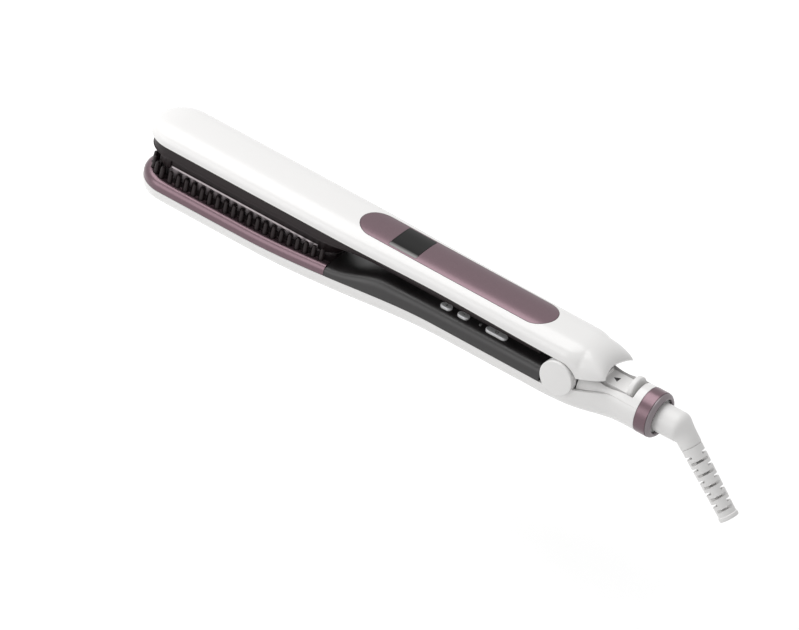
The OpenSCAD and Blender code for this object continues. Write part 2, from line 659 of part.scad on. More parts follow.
module display_module() {
    z = shell_z + 1.4 + seam;
    color("darkslategray") slab(z + 1.2, shell_z + crown_h - wall - 0.4)
        translate([window_x0 + 1, -6]) square([window_len - 2, 12]);
    color("seagreen") slab(z, z + 1.2)
        translate([window_x0 - 8, -8]) square([window_len + 30, 16]);
}
module upper_screws() {
    color("dimgray") upper_screw_spots() {
        translate([0, 0, housing_z - 0.1]) mirror([0, 0, 1]) cylinder(h = 1.2, r = 2);
        translate([0, 0, housing_z - 0.2]) cylinder(h = 5, r = 1);
    }
}

/* Lock and cord exit */

tongue_z = catch_z - slip;
plate_top = lock_deck + 1.2;
fin_t = 3;
fin_r = recess_r - slip - 0.2;
module lock_slider() {
    color("white") {
        slab(lock_deck + seam, tongue_z) translate([lock_x0, -5]) square([4, 10]);
        slab(lock_deck + seam, plate_top) translate([lock_x0 + 3, -fin_r]) square([lock_x1 - lock_x0 - 4, 2 * fin_r]);
        intersection() {
            translate([lock_x1 - fin_t, 0, plate_top - 0.2]) rotate([0, 90, 0]) rotate_extrude() difference() {
                square([fin_r, fin_t]);
                for (x = [0, fin_t]) translate([fin_r, x]) rotate(45) square(0.9, center = true);
            }
            slab(lock_deck + seam, plate_top + fin_r) translate([lock_x1 - 4, -fin_r]) square([5, 2 * fin_r]);
        }
        slab(lock_deck - deck_t - slip - 1, lock_deck + 0.5)
            translate([lock_foot[0], -1.8]) square([lock_foot[1] - lock_foot[0], 3.6]);
        slab(lock_deck - deck_t - slip - 1.4, lock_deck - deck_t - slip)
            translate([lock_foot[0], -4]) square([lock_foot[1] - lock_foot[0], 8]);
    }
}

elbow_x = ring_x + 11.6;
neck_r = 7.5;
spindle_x0 = socket_x0 - 1.35;
module drooping() {
    translate([elbow_x, 0, tail_z]) rotate([0, droop, 0]) children();
}
relief_x0 = 9.8;
relief_r0 = 5.35;
relief_r1 = 4.7;
module swivel_elbow() {
    color("white") difference() {
        union() {
            translate([0, 0, tail_z]) {
                along_x(spindle_x0, socket_x1 + 1, spindle_r);
                along_x(socket_x1 + slip, elbow_x, neck_r);
                translate([elbow_x, 0, 0]) sphere(neck_r);
            }
            drooping() rotate([0, 90, 0]) cylinder(h = relief_x0 - seam, r1 = neck_r, r2 = relief_r0 + 0.5);
        }
        translate([0, 0, tail_z]) along_x(spindle_x0 - 2, elbow_x, cord_r);
        translate([elbow_x, 0, tail_z]) sphere(cord_r);
        drooping() along_x(0, relief_x0 + 2, cord_r);
    }
}
module strain_relief() {
    first_slot = 4.5;
    slot_w = 1.5;
    slot_step = (relief_len - 8.4 - slot_w) / (2 * relief_slots - 1) * 0.995;
    color("white") drooping() difference() {
        union() {
            translate([relief_x0, 0, 0]) rotate([0, 90, 0])
                cylinder(h = relief_len, r1 = relief_r0, r2 = relief_r1);
            along_x(relief_x0 + relief_len - 2, relief_x0 + relief_len, relief_r1 + 0.4);
        }
        along_x(relief_x0 - 1, relief_x0 + relief_len + 1, cord_r);
        for (i = [0:2 * relief_slots - 1]) translate([relief_x0 + first_slot - slot_w / 2 + i * slot_step, 0, 0])
            rotate([i % 2 * 90 + 45, 0, 0]) for (side = [0, 1]) mirror([0, side, 0])
                translate([0, cord_r - 0.6, -4]) cube([slot_w, 6, 8]);
    }
}
module swivel_retainer() {
    color("dimgray") translate([0, 0, tail_z]) difference() {
        along_x(spindle_x0 + seam, socket_x0 - seam, spindle_r + 1.2);
        along_x(socket_x0 - 2, socket_x0 + 1, spindle_r + 0.02);
    }
}

lower_shell();
rim_cover();
lower_housing();
tail_cover();
brush_frame();
lower_plate();
lower_heater();
control_board();
tact_switches();
power_led();
hinge_pin();
hinge_cap_near();
hinge_cap_far();
swivel_socket();
accent_ring();
lower_screws();
opening_spring();
upper_shell();
upper_housing();
plate_carrier();
upper_plate();
upper_heater();
hinge_bracket();
inlay_panel();
display_window();
display_module();
upper_screws();
plus_button();
minus_button();
power_button();
lock_slider();
swivel_elbow();
strain_relief();
swivel_retainer();
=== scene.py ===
# %% [markdown]
# # Hair straightener with a brush
# The straightener lies in the air, tips to the upper left and cord exit to the lower right. A fixed frame holds
# its engineering model and says which body carries each part. The main sizes and places are read from that frame
# and not typed in again, so every piece made here sits where its body carries it.

# %% Load the frame
import json
import math

import bmesh
import bpy
from mathutils import Matrix, Vector


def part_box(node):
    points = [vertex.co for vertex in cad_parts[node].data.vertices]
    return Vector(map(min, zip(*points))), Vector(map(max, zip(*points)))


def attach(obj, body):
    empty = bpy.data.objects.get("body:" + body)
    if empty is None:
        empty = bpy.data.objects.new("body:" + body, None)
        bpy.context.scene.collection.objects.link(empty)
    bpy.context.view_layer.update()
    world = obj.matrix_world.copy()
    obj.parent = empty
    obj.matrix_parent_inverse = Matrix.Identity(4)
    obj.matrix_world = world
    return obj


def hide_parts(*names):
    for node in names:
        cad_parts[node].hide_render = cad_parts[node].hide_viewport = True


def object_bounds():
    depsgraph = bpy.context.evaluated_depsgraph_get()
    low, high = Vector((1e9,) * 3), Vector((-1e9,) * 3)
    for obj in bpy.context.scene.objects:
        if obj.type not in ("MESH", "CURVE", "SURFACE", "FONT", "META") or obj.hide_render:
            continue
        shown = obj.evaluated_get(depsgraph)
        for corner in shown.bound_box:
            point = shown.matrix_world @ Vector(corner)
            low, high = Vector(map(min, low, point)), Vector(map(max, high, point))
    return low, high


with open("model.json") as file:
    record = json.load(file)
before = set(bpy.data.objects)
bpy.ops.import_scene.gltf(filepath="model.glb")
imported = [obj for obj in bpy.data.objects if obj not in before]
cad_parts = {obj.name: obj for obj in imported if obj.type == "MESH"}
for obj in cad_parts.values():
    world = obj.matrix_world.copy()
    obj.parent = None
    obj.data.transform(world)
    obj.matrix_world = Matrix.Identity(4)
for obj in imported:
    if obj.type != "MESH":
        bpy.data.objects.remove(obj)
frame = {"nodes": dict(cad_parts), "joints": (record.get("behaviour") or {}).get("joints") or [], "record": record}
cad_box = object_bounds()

MM = 0.001
scene = bpy.context.scene
joints = {joint["name"]: joint for joint in frame["joints"]}
hinge = Vector(joints["arm_hinge"]["pos_m"])
print("nodes", len(frame["nodes"]), "hinge at", [round(c / MM, 1) for c in hinge], "mm")

# %% [markdown]
# ## The direction of view
# The camera looks down on the near side of the arms, and it is rolled, which lets the object run down the
# picture. It could be turned by three Euler angles, but their order is easy to get wrong. Here the view's own
# right, up and back are built as three vectors, which the aim can use as well.

# %% Axes of the view
AZIMUTH, ELEVATION, ROLL = 27.8, 35.5, 11.5


def camera_axes(azimuth, elevation, roll):
    """The view's right, up and back, for angles in degrees."""
    a, e, r = (math.radians(v) for v in (azimuth, elevation, roll))
    back = Vector((math.sin(a) * math.cos(e), -math.cos(a) * math.cos(e), math.sin(e)))
    right = Vector((math.cos(a), math.sin(a), 0))
    up = back.cross(right)
    turn = Matrix.Rotation(r, 3, back)
    return turn @ right, turn @ up, back


right, up, back = camera_axes(AZIMUTH, ELEVATION, ROLL)
print("towards the camera", [round(c, 2) for c in back])

# %% [markdown]
# ## The camera
# The picture was taken with a long lens, because parallel edges stay parallel. An orthographic camera would do
# that too, but a real lens at nine metres keeps the very slight perspective. The round cap of the hinge is the
# landmark: its place in the picture and the number of pixels in a millimetre set where the camera aims.

# %% Camera
PICTURE_W, PICTURE_H = 799, 630
CAP_PIXEL = (556, 378)
PIXELS_PER_MM = 2.1
DISTANCE = 9.0
SENSOR = 36.0
NEAR_CLIP, FAR_CLIP = 0.1, 40

near_low, near_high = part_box("hinge_cap_near")
cap_centre = Vector((hinge.x, (near_low.y + near_high.y) / 2, hinge.z))
aim = (cap_centre
       + right * ((PICTURE_W / 2 - CAP_PIXEL[0]) / PIXELS_PER_MM * MM)
       + up * ((CAP_PIXEL[1] - PICTURE_H / 2) / PIXELS_PER_MM * MM))
camera_data = bpy.data.cameras.new("camera")
camera_data.sensor_width = SENSOR
camera_data.lens = SENSOR * DISTANCE * PIXELS_PER_MM / (PICTURE_W * MM)
camera_data.clip_start, camera_data.clip_end = NEAR_CLIP, FAR_CLIP
camera = bpy.data.objects.new("camera", camera_data)
scene.collection.objects.link(camera)
camera.matrix_world = (Matrix.Translation(aim + back * DISTANCE)
                       @ Matrix((right, up, back)).transposed().to_4x4())
scene.camera = camera
print("lens", round(camera_data.lens), "mm, aimed at", [round(c / MM, 1) for c in aim], "mm")

# %% [markdown]
# ## Colours and nodes
# Colours are written as the eye names them, in sRGB hex, and one function turns them into the linear light in
# which Blender calculates. Another adds a node with its settings, numbers and links. Nodes could also be joined
# one by one, but this way a material reads as a list of what feeds what.

# %% Colours and nodes


def colour(code):
    """An sRGB hex colour as linear light."""
    parts = [int(code[i:i + 2], 16) / 255 for i in (1, 3, 5)]
    return tuple(c / 12.92 if c <= 0.04045 else ((c + 0.055) / 1.055) ** 2.4 for c in parts) + (1.0,)


def feed(tree, there, **inputs):
    """Sets or links a node's sockets. A socket goes by its name, with _ for a space, or by its number, as in i6."""
    for name, value in inputs.items():
        key = name.replace("_", " ")
        socket = there.inputs[int(key[1:])] if key[0] == "i" and key[1:].isdigit() else there.inputs[key]
        if isinstance(value, bpy.types.NodeSocket):
            tree.links.new(value, socket)
        else:
            socket.default_value = value


def node(tree, kind, settings=None, **inputs):
    """Adds a node with its settings, numbers and links."""
    added = tree.nodes.new(kind)
    for name, value in (settings or {}).items():
        setattr(added, name, value)
    feed(tree, added, **inputs)
    return added


def finish_material(name, base, **shader_values):
    """A new material with its constants on the shader's own sockets, and the place that its patterns start from."""
    material = bpy.data.materials.new(name)
    material.use_nodes = True
    tree = material.node_tree
    shader = tree.nodes["Principled BSDF"]
    feed(tree, shader, Base_Color=colour(base), **shader_values)
    place = node(tree, "ShaderNodeTexCoord").outputs["Object"]
    return material, tree, shader, place


def per_mm(size):
    """The scale of a pattern whose features are that many millimetres wide."""
    return 1 / (size * MM)


print("#808080 is", round(colour("#808080")[0], 3), "in linear light")

# %% [markdown]
# ## White shells
# The shells are ABS, moulded in a polished tool. Such a skin is glossy, but it isn't a mirror: it has a very
# shallow, slow waviness from the moulding, and faint differences in gloss where hands have been. Both could come
# from image maps, but noise in the object's own millimetres has no seams and keeps its scale on every part.

# %% Glossy white ABS
HANDLED_MM, WAVE_MM = 18, 9
NOISE_SPAN = {"From_Min": 0.3, "From_Max": 0.7}  # noise seldom leaves it


def glossy_white_abs():
    material, tree, shader, place = finish_material(
        "glossy_white_abs", "#efeeed", IOR=1.5, Coat_Weight=0.1, Coat_Roughness=0.1, Coat_IOR=1.5)
    handled = node(tree, "ShaderNodeTexNoise", Vector=place, Scale=per_mm(HANDLED_MM), Detail=3.0, Roughness=0.6)
    gloss = node(tree, "ShaderNodeMapRange", Value=handled.outputs["Fac"], To_Min=0.2, To_Max=0.27, **NOISE_SPAN)
    waves = node(tree, "ShaderNodeTexNoise", Vector=place, Scale=per_mm(WAVE_MM), Detail=1.0)
    relief = node(tree, "ShaderNodeBump", Height=waves.outputs["Fac"], Distance=0.02 * MM, Strength=0.3)
    feed(tree, shader, Roughness=gloss.outputs["Result"], Normal=relief.outputs["Normal"])
    return material


white = glossy_white_abs()
print(white.name, "has", len(white.node_tree.nodes), "nodes")

# %% [markdown]
# ## Rose lacquer
# The rim, the inlay and the ring are ABS with a sprayed metallic lacquer: aluminium flakes in a rose tint under
# a clear coat. A plain metal in that colour would look like a solid casting. The flakes give each spot its own
# tone and the coat a second, sharper gloss. Real ones are finer than 0.05 mm, so here they are coarser, to show.

# %% Rose metallic lacquer
FLAKE_MM, LACQUER_WAVE_MM = 0.3, 6


def rose_lacquer():
    material, tree, shader, place = finish_material(
        "rose_lacquer", "#6b575e", Metallic=0.85, Roughness=0.3, Coat_Weight=0.25, Coat_Roughness=0.2)
    flakes = node(tree, "ShaderNodeTexVoronoi", Vector=place, Scale=per_mm(FLAKE_MM))
    tone = node(tree, "ShaderNodeSeparateColor", Color=flakes.outputs["Color"])
    tint = node(tree, "ShaderNodeMix", {"data_type": "RGBA"}, Factor=tone.outputs["Red"],
                i6=colour("#68545b"), i7=colour("#6f5a61"))
    waves = node(tree, "ShaderNodeTexNoise", Vector=place, Scale=per_mm(LACQUER_WAVE_MM), Detail=1.0)
    relief = node(tree, "ShaderNodeBump", Height=waves.outputs["Fac"], Distance=0.015 * MM, Strength=0.3)
    feed(tree, shader, Base_Color=tint.outputs[2], Normal=relief.outputs["Normal"])
    return material


rose = rose_lacquer()
print(rose.name, "has", len(rose.node_tree.nodes), "nodes")

# %% [markdown]
# ## Black, brown and grey mouldings
# The grip's housing is glass filled polyamide. The comb, the plate's carrier and the upper tray are a dark brown
# heat resistant resin, and the cord's socket is acetal. Their tools were spark eroded, which leaves a fine grain
# and a satin look. The real grain is finer than 0.1 mm and is drawn coarser, to show. Each could have its own
# nodes, but only colour, grain and gloss differ, so one function makes all. A slow drift of tone stands for wear.

# %% Satin mouldings
WEAR_MM = 14


def satin_moulding(name, dark, light, roughness, grain_mm=0.3, gloss=0.5):
    material, tree, shader, place = finish_material(name, dark, IOR=1.55, Roughness=roughness,
                                                    Specular_IOR_Level=gloss)
    worn = node(tree, "ShaderNodeTexNoise", Vector=place, Scale=per_mm(WEAR_MM), Detail=4.0, Roughness=0.6)
    tint = node(tree, "ShaderNodeMix", {"data_type": "RGBA"}, Factor=worn.outputs["Fac"],
                i6=colour(dark), i7=colour(light))
    sheen = node(tree, "ShaderNodeMapRange", Value=worn.outputs["Fac"], To_Min=roughness - 0.05,
                 To_Max=roughness + 0.06, **NOISE_SPAN)
    grain = node(tree, "ShaderNodeTexNoise", Vector=place, Scale=per_mm(grain_mm), Detail=2.0)
    relief = node(tree, "ShaderNodeBump", Height=grain.outputs["Fac"], Distance=0.02 * MM, Strength=0.5)
    feed(tree, shader, Base_Color=tint.outputs[2], Roughness=sheen.outputs["Result"],
         Normal=relief.outputs["Normal"])
    return material


black = satin_moulding("black_polyamide", "#191717", "#242122", 0.36)
brown = satin_moulding("brown_heat_resin", "#1a1314", "#261c1e", 0.45, gloss=0.22)
acetal = satin_moulding("grey_acetal", "#bdbdbd", "#c9c9c9", 0.4, 0.6)
print("satin mouldings:", black.name, brown.name, acetal.name)

# %% [markdown]
# ## Metals
# The plates are aluminium, ground along their length and coated, the ring has a grey metal lip, and the pin, the
# screws and the bracket are steel. Grinding leaves fine scratches along X. Anisotropy could draw them out as one
# long highlight, but noise stretched along that axis shows the scratches themselves. Real ones are a few
# hundredths of a millimetre wide, so they are drawn coarser, to show.

# %% Ground metals
SCRATCH_MM = 0.12
ALONG_GRIND = (0.03, 1, 1)


def ground_metal(name, base, roughness):
    material, tree, shader, place = finish_material(name, base, Metallic=1.0, Roughness=roughness)
    along = node(tree, "ShaderNodeMapping", Vector=place, Scale=ALONG_GRIND)
    scratch = node(tree, "ShaderNodeTexNoise", Vector=along.outputs["Vector"], Scale=per_mm(SCRATCH_MM), Detail=3.0)
    sheen = node(tree, "ShaderNodeMapRange", Value=scratch.outputs["Fac"], To_Min=roughness - 0.06,
                 To_Max=roughness + 0.08, **NOISE_SPAN)
    relief = node(tree, "ShaderNodeBump", Height=scratch.outputs["Fac"], Distance=0.004 * MM, Strength=0.5)
    feed(tree, shader, Roughness=sheen.outputs["Result"], Normal=relief.outputs["Normal"])
    return material


aluminium = ground_metal("coated_aluminium", "#8a8385", 0.36)
trim_grey = ground_metal("grey_trim", "#7f787b", 0.38)
steel = ground_metal("plain_steel", "#b3b4b6", 0.32)
print("ground metals:", aluminium.name, trim_grey.name, steel.name)

# %% [markdown]
# ## Silver paint
# The keys are plastic, sprayed with silver paint and sealed. A full metal would mirror the dark grip, but the
# pigment scatters the light: the paint looks pale and only a little metallic. So the metallic value is low, and
# fine noise gives the pigment's mottle, drawn coarser than the real one, to show.

# %% Silver paint
PIGMENT_MM = 0.25


def silver_paint():
    material, tree, shader, place = finish_material(
        "silver_paint", "#d3d3d5", Metallic=0.12, Roughness=0.34, Coat_Weight=0.2, Coat_Roughness=0.15)
    fine = node(tree, "ShaderNodeTexNoise", Vector=place, Scale=per_mm(PIGMENT_MM), Detail=1.0)
    tint = node(tree, "ShaderNodeMix", {"data_type": "RGBA"}, Factor=fine.outputs["Fac"],
                i6=colour("#d2d2d4"), i7=colour("#dedee0"))
    feed(tree, shader, Base_Color=tint.outputs[2])
    return material


silver = silver_paint()
print(silver.name, "has", len(silver.node_tree.nodes), "nodes")

# %% [markdown]
# ## Tinted acrylic
# The display's window is dark acrylic with fingers' smears on it. Real smoked acrylic lets light in, but behind
# this one nothing is lit, so an opaque near-black with a low specular level looks the same and renders faster.
# Where the window turns down at its near side it mirrors the lamp above, and that reflection is painted in as a
# pale strip, drawn by the place across the arm.

# %% Tinted acrylic
SMEAR_MM = 7
# Where the painted reflection of the lamp begins and ends across the arm, in mm.
REFLECTION_FROM, REFLECTION_TO = -8.3, -6.6


def tinted_acrylic():
    material, tree, shader, place = finish_material(
        "tinted_acrylic", "#0d0d0c", IOR=1.49, Specular_IOR_Level=0.22, Roughness=0.08)
    smears = node(tree, "ShaderNodeTexNoise", Vector=place, Scale=per_mm(SMEAR_MM), Detail=4.0)
    gloss = node(tree, "ShaderNodeMapRange", Value=smears.outputs["Fac"], To_Min=0.06, To_Max=0.12, **NOISE_SPAN)
    across = node(tree, "ShaderNodeSeparateXYZ", Vector=place)
    # The pale strip at the near side is a painted reflection of the lamp above.
    edge = node(tree, "ShaderNodeMapRange", Value=across.outputs["Y"], From_Min=REFLECTION_FROM * MM,
                From_Max=REFLECTION_TO * MM, To_Min=0.0, To_Max=1.0)
    tint = node(tree, "ShaderNodeMix", {"data_type": "RGBA"}, Factor=edge.outputs["Result"],
                i6=colour("#8f8e8d"), i7=colour("#0d0d0c"))
    feed(tree, shader, Base_Color=tint.outputs[2], Roughness=gloss.outputs["Result"])
    return material


acrylic = tinted_acrylic()
print(acrylic.name, "has", len(acrylic.node_tree.nodes), "nodes")

# %% [markdown]
# ## White elastomer
# The cord exit and the lock are a soft white elastomer. It is duller than the shells and takes up skin oil in
# patches. The shells' finish with more roughness would come close, but it has no grain. Here a fine bump gives the
# grain of the mould, drawn coarser than the real one, to show, and slow noise sets the patches of gloss.

# %% White elastomer
SKIN_MM, OIL_MM = 0.5, 11


def white_elastomer():
    material, tree, shader, place = finish_material("white_elastomer", "#ecebea", IOR=1.5, Roughness=0.42)
    skin = node(tree, "ShaderNodeTexNoise", Vector=place, Scale=per_mm(SKIN_MM), Detail=2.0)
    relief = node(tree, "ShaderNodeBump", Height=skin.outputs["Fac"], Distance=0.02 * MM, Strength=0.4)
    handled = node(tree, "ShaderNodeTexNoise", Vector=place, Scale=per_mm(OIL_MM), Detail=3.0)
    sheen = node(tree, "ShaderNodeMapRange", Value=handled.outputs["Fac"], To_Min=0.36, To_Max=0.48, **NOISE_SPAN)
    feed(tree, shader, Roughness=sheen.outputs["Result"], Normal=relief.outputs["Normal"])
    return material


elastomer = white_elastomer()
print(elastomer.name, "has", len(elastomer.node_tree.nodes), "nodes")

# %% [markdown]
# ## Circuit board and heaters
# Two finishes lie inside. The board is glass resin with green solder mask, whose copper shows as square fields.
# The copper could be drawn track by track, but a Voronoi pattern with a square distance is enough for a part that
# shows only through gaps. The heaters are fired ceramic, with speckled clay colours, which noise gives.

# %% Circuit board and ceramic
TRACK_MM, SPECKLE_MM = 2.5, 1.2


def circuit_board():
    material, tree, shader, place = finish_material("glass_resin_board", "#2f6b4a", IOR=1.5, Roughness=0.35)
    tracks = node(tree, "ShaderNodeTexVoronoi", {"distance": "CHEBYCHEV"}, Vector=place, Scale=per_mm(TRACK_MM))
    tint = node(tree, "ShaderNodeMix", {"data_type": "RGBA"}, Factor=tracks.outputs["Distance"],
                i6=colour("#275c40"), i7=colour("#3a7a56"))
    feed(tree, shader, Base_Color=tint.outputs[2])
    return material


def ceramic_heater():
    material, tree, shader, place = finish_material("ceramic_heater", "#c9b183", IOR=1.6, Roughness=0.55)
    speckle = node(tree, "ShaderNodeTexNoise", Vector=place, Scale=per_mm(SPECKLE_MM), Detail=3.0)
    tint = node(tree, "ShaderNodeMix", {"data_type": "RGBA"}, Factor=speckle.outputs["Fac"],
                i6=colour("#b89c6a"), i7=colour("#d6c29a"))
    feed(tree, shader, Base_Color=tint.outputs[2])
    return material


board = circuit_board()
heater = ceramic_heater()
print("inside:", board.name, heater.name)

# %% [markdown]
# ## Finishes of the fixed nodes
# Pins, screws, switches, boards and heaters keep the shape that they have in the frame and only need a finish.
# The frame's record names a slot for every node, so one table from slot to finish serves the nodes and the pieces.

# %% Finishes by slot
finishes = {
    "white_shell": white, "rose_trim": rose, "black_housing": black, "brush_plastic": brown,
    "plate_metal": aluminium, "steel": steel, "heater": heater, "circuit_board": board,
    "button_silver": silver, "display_glass": acrylic, "light_pipe": acrylic, "white_soft": elastomer,
    "socket_grey": acetal,
}
slot_of = {part["node"]: part["material_slot"] for part in frame["record"]["subparts"]}
for name, cad in frame["nodes"].items():
    cad.data.materials.clear()
    cad.data.materials.append(finishes[slot_of[name]])
print("finishes", len(set(finishes.values())), "on", len(slot_of), "nodes")

# %% [markdown]
# ## Floor
# The object floats over a pale floor, which only takes a faint shadow. A white floor could be had with more light,
# but that would bleach the object. So the floor keeps its own grey for the light, and only the rays of the camera
# and of glossy and clear surfaces see it lifted by a little glow.

# %% Floor
FLOOR_GAP = 60 * MM
FLOOR_SIZE = 3.0
FLOOR_GLOW = 0.35
FLOOR_ROUGHNESS = 0.9
cad_low, cad_high = cad_box
floor_z = cad_low.z - FLOOR_GAP
floor_mesh = bpy.data.meshes.new("studio_floor")
corners = [(x * FLOOR_SIZE, y * FLOOR_SIZE, floor_z) for x, y in ((-1, -1), (1, -1), (1, 1), (-1, 1))]
floor_mesh.from_pydata(corners, [], [(0, 1, 2, 3)])
floor = bpy.data.objects.new("studio_floor", floor_mesh)
scene.collection.objects.link(floor)


def see_white(tree):
    """One for the camera, glossy rays and transmission rays, which see white, and zero for the light itself."""
    path = node(tree, "ShaderNodeLightPath")
    seen = node(tree, "ShaderNodeMath", {"operation": "MAXIMUM"},
                i0=path.outputs["Is Camera Ray"], i1=path.outputs["Is Glossy Ray"])
    seen = node(tree, "ShaderNodeMath", {"operation": "MAXIMUM"},
                i0=seen.outputs[0], i1=path.outputs["Is Transmission Ray"])
    return seen.outputs[0]


floor_material = bpy.data.materials.new("pale_floor")
floor_material.use_nodes = True
tree = floor_material.node_tree
matt = tree.nodes["Principled BSDF"]
feed(tree, matt, Base_Color=colour("#e9e9e9"), Roughness=FLOOR_ROUGHNESS)
glow = node(tree, "ShaderNodeEmission", Color=colour("#ffffff"), Strength=FLOOR_GLOW)
both = node(tree, "ShaderNodeAddShader", i0=matt.outputs[0], i1=glow.outputs[0])
plain = node(tree, "ShaderNodeMixShader", Fac=see_white(tree), i1=matt.outputs[0], i2=both.outputs[0])
feed(tree, tree.nodes["Material Output"], Surface=plain.outputs[0])
floor_mesh.materials.append(floor_material)
print("floor at", round(floor_z / MM), "mm")

# %% [markdown]
# ## Background
# The background is plain white, as in a catalogue picture. A world that bright would flood the object with light,
# so it has two strengths: one for the light that falls on the object, and one for the rays that look at it.

# %% Background
WORLD_LIGHT = 0.45
world = bpy.data.worlds.new("studio")
scene.world = world
world.use_nodes = True
tree = world.node_tree
felt = tree.nodes["Background"]
feed(tree, felt, Color=colour("#ffffff"), Strength=WORLD_LIGHT)
shown = node(tree, "ShaderNodeBackground", Color=colour("#ffffff"), Strength=1.0)
mixed = node(tree, "ShaderNodeMixShader", Fac=see_white(tree), i1=felt.outputs[0], i2=shown.outputs[0])
feed(tree, tree.nodes["World Output"], Surface=mixed.outputs[0])
scene.view_settings.view_transform = "Standard"
print("world light", WORLD_LIGHT)

# %% [markdown]
# ## Lamps
# Two soft lamps do the rest. The large one hangs above and a little towards the tips, so the crown and the near
# edge of the inlay catch it and the slopes behind the hinge fall off into grey. The weaker one fills the near side.
# Small lamps would draw hard glints and shadows, which a photographer's soft boxes don't.

# %% Lamps


def soft_lamp(name, towards, distance, size, power):
    """A round soft lamp that points at the object's middle."""
    data = bpy.data.lights.new(name, "AREA")
    data.shape, data.size, data.energy = "DISK", size, power
    lamp = bpy.data.objects.new(name, data)
    scene.collection.objects.link(lamp)
    direction = Vector(towards).normalized()
    lamp.location = (cad_low + cad_high) / 2 + direction * distance
    lamp.rotation_mode = "QUATERNION"
    lamp.rotation_quaternion = direction.to_track_quat("Z", "Y")
    return lamp


for lamp in (soft_lamp("top_lamp", (-0.46, 0.03, 0.88), distance=1.6, size=1.7, power=17.5),
             soft_lamp("near_lamp", (-0.7, -1.0, 0.3), distance=1.5, size=1.2, power=5.8)):
    print(lamp.name, lamp.data.energy, "W, at", [round(c, 2) for c in lamp.location])

# %% [markdown]
# ## Sizes of the arms
# Both arms have one outline: a round tip, straight sides along the plates, and a slow taper to the grip. The
# boxes of the fixed nodes give the main sizes, in millimetres. They could be typed in, but then a change of the
# frame would leave the pieces behind. A few moulded sizes are named beside them: the wall, the seam between two
# mouldings, and the heights of the rim and the grip.

# %% Sizes of the arms


def box_mm(name):
    low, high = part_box(name)
    return Vector(low) / MM, Vector(high) / MM


rim_low, rim_high = box_mm("rim_cover")
cap_low, cap_high = box_mm("hinge_cap_near")
shell_z = box_mm("upper_shell")[0].z
hinge_x, hinge_z = hinge.x / MM, hinge.z / MM
tip_r = rim_high.y
brush_x = -rim_low.x
tip_x = tip_r - brush_x
bend_x = brush_x - 48
rise_x = brush_x + 66
grip_r = -cap_high.y
cap_r = (cap_high.z - cap_low.z) / 2
wall = 1.8
seam = 0.1
first_rim_z = rim_low.z - seam
rim_top = 13.8
grip_base, grip_seam, grip_top = 7.4, 16.2, 25.0
print("tip", round(tip_r, 1), "brush", round(brush_x, 1), "grip", round(grip_r, 1), "cap", round(cap_r, 2))

# %% [markdown]
# ## Lines along the arms
# The lower arm isn't straight: its underside, its seam and the face of its rim rise towards the grip. They could be
# Bezier curves, but each is only a level that changes into another between two places. So one easing function,
# flat at both ends, gives them all, and the pieces that meet on a line share its function.

# %% Lines along the arms


def ease(x, a, b):
    """From 0 at a to 1 at b, flat at both ends."""
    t = min(1, max(0, (x - a) / (b - a)))
    return t * t * (3 - 2 * t)


def mix(a, b, t):
    """From a to b as t goes from 0 to 1."""
    return a + (b - a) * t


def arm_r(x):
    """Half the arm's width."""
    return mix(tip_r, grip_r, ease(x, brush_x, rise_x))


def base_z(x):
    """The lower arm's underside."""
    return mix(0, grip_base, ease(x, bend_x + 10, rise_x + 4))


def seam_z(x):
    """The seam between the lower shell and what lies on it."""
    return mix(first_rim_z, grip_seam, ease(x, bend_x, rise_x - 4))


def rim_height(x):
    """The face of the rim."""
    return rim_top + seam_z(x) - first_rim_z


def inner_z(x):
    """The inner face of the grip."""
    return mix(rim_height(brush_x), grip_top, ease(x, brush_x, brush_x + 32))


print("the seam rises from", round(seam_z(tip_x), 1), "to", round(seam_z(hinge_x), 1), "mm")

# %% [markdown]
# ## Sections
# A moulded shell is a skin over a row of sections. Here a section is a squared ellipse: flat in the middle and
# tight at the shoulders, which an exponent sets. A rounded box could do, but its flats and corners would meet in
# a visible line. Equal steps of the angle would leave long faces on the flats, so the steps are smaller there,
# which spaces the points evenly.

# %% Sections


def squash(v, p):
    """A power that keeps the sign."""
    return math.copysign(abs(v) ** p, v)


def arc_angles(count, e):
    """Angles from 0 to 180 degrees that space the points of a squared ellipse evenly."""
    k = e / 2
    half = [90 * t ** k / (t ** k + (1 - t) ** k) for t in (i / count for i in range(count + 1))]
    return half + [180 - a for a in reversed(half[:-1])]


def section(x, half, z, up, down, e, angles, bow=0.0, flat=1.0):
    """A section's points: up over z where the sine is positive, and down under z where it is negative."""
    points = []
    for a in angles:
        c, s = squash(math.cos(math.radians(a)), 2 / e), squash(math.sin(math.radians(a)), 2 / e)
        height = up * s if s >= 0 else -min(down, -down * flat * s)
        points.append((x + bow * c * c, -half * c, z + height))
    return points


def steps_between(x0, x1, step=3.0):
    """Even places from x0 to x1, about a step apart."""
    count = max(1, round((x1 - x0) / step))
    return [mix(x0, x1, i / count) for i in range(count + 1)]


print("an arc of 26 steps has", len(arc_angles(26, 2.8)), "points")

# %% [markdown]
# ## Skins and walls
# A Solidify modifier could give a skin its thickness, but that gets uneven at tight corners. So an inner skin is
# laid over its own, smaller sections, and the open edges of both are joined. After each step the mesh is cleaned:
# points that meet become one, faces without area go, and all faces look outwards.

# %% Skins and walls


def tidy(bm):
    """Cleans a mesh and turns its faces outwards."""
    bmesh.ops.remove_doubles(bm, verts=bm.verts, dist=1e-4)
    bmesh.ops.dissolve_degenerate(bm, edges=bm.edges, dist=1e-5)
    bmesh.ops.recalc_face_normals(bm, faces=bm.faces)
    return bm


def add_skin(bm, rows, closed=False):
    """Lays faces over rows of points."""
    verts = [[bm.verts.new(p) for p in row] for row in rows]
    count = len(rows[0])
    for j in range(len(rows) - 1):
        for i in range(count if closed else count - 1):
            k = (i + 1) % count
            bm.faces.new((verts[j][i], verts[j][k], verts[j + 1][k], verts[j + 1][i]))
    return verts


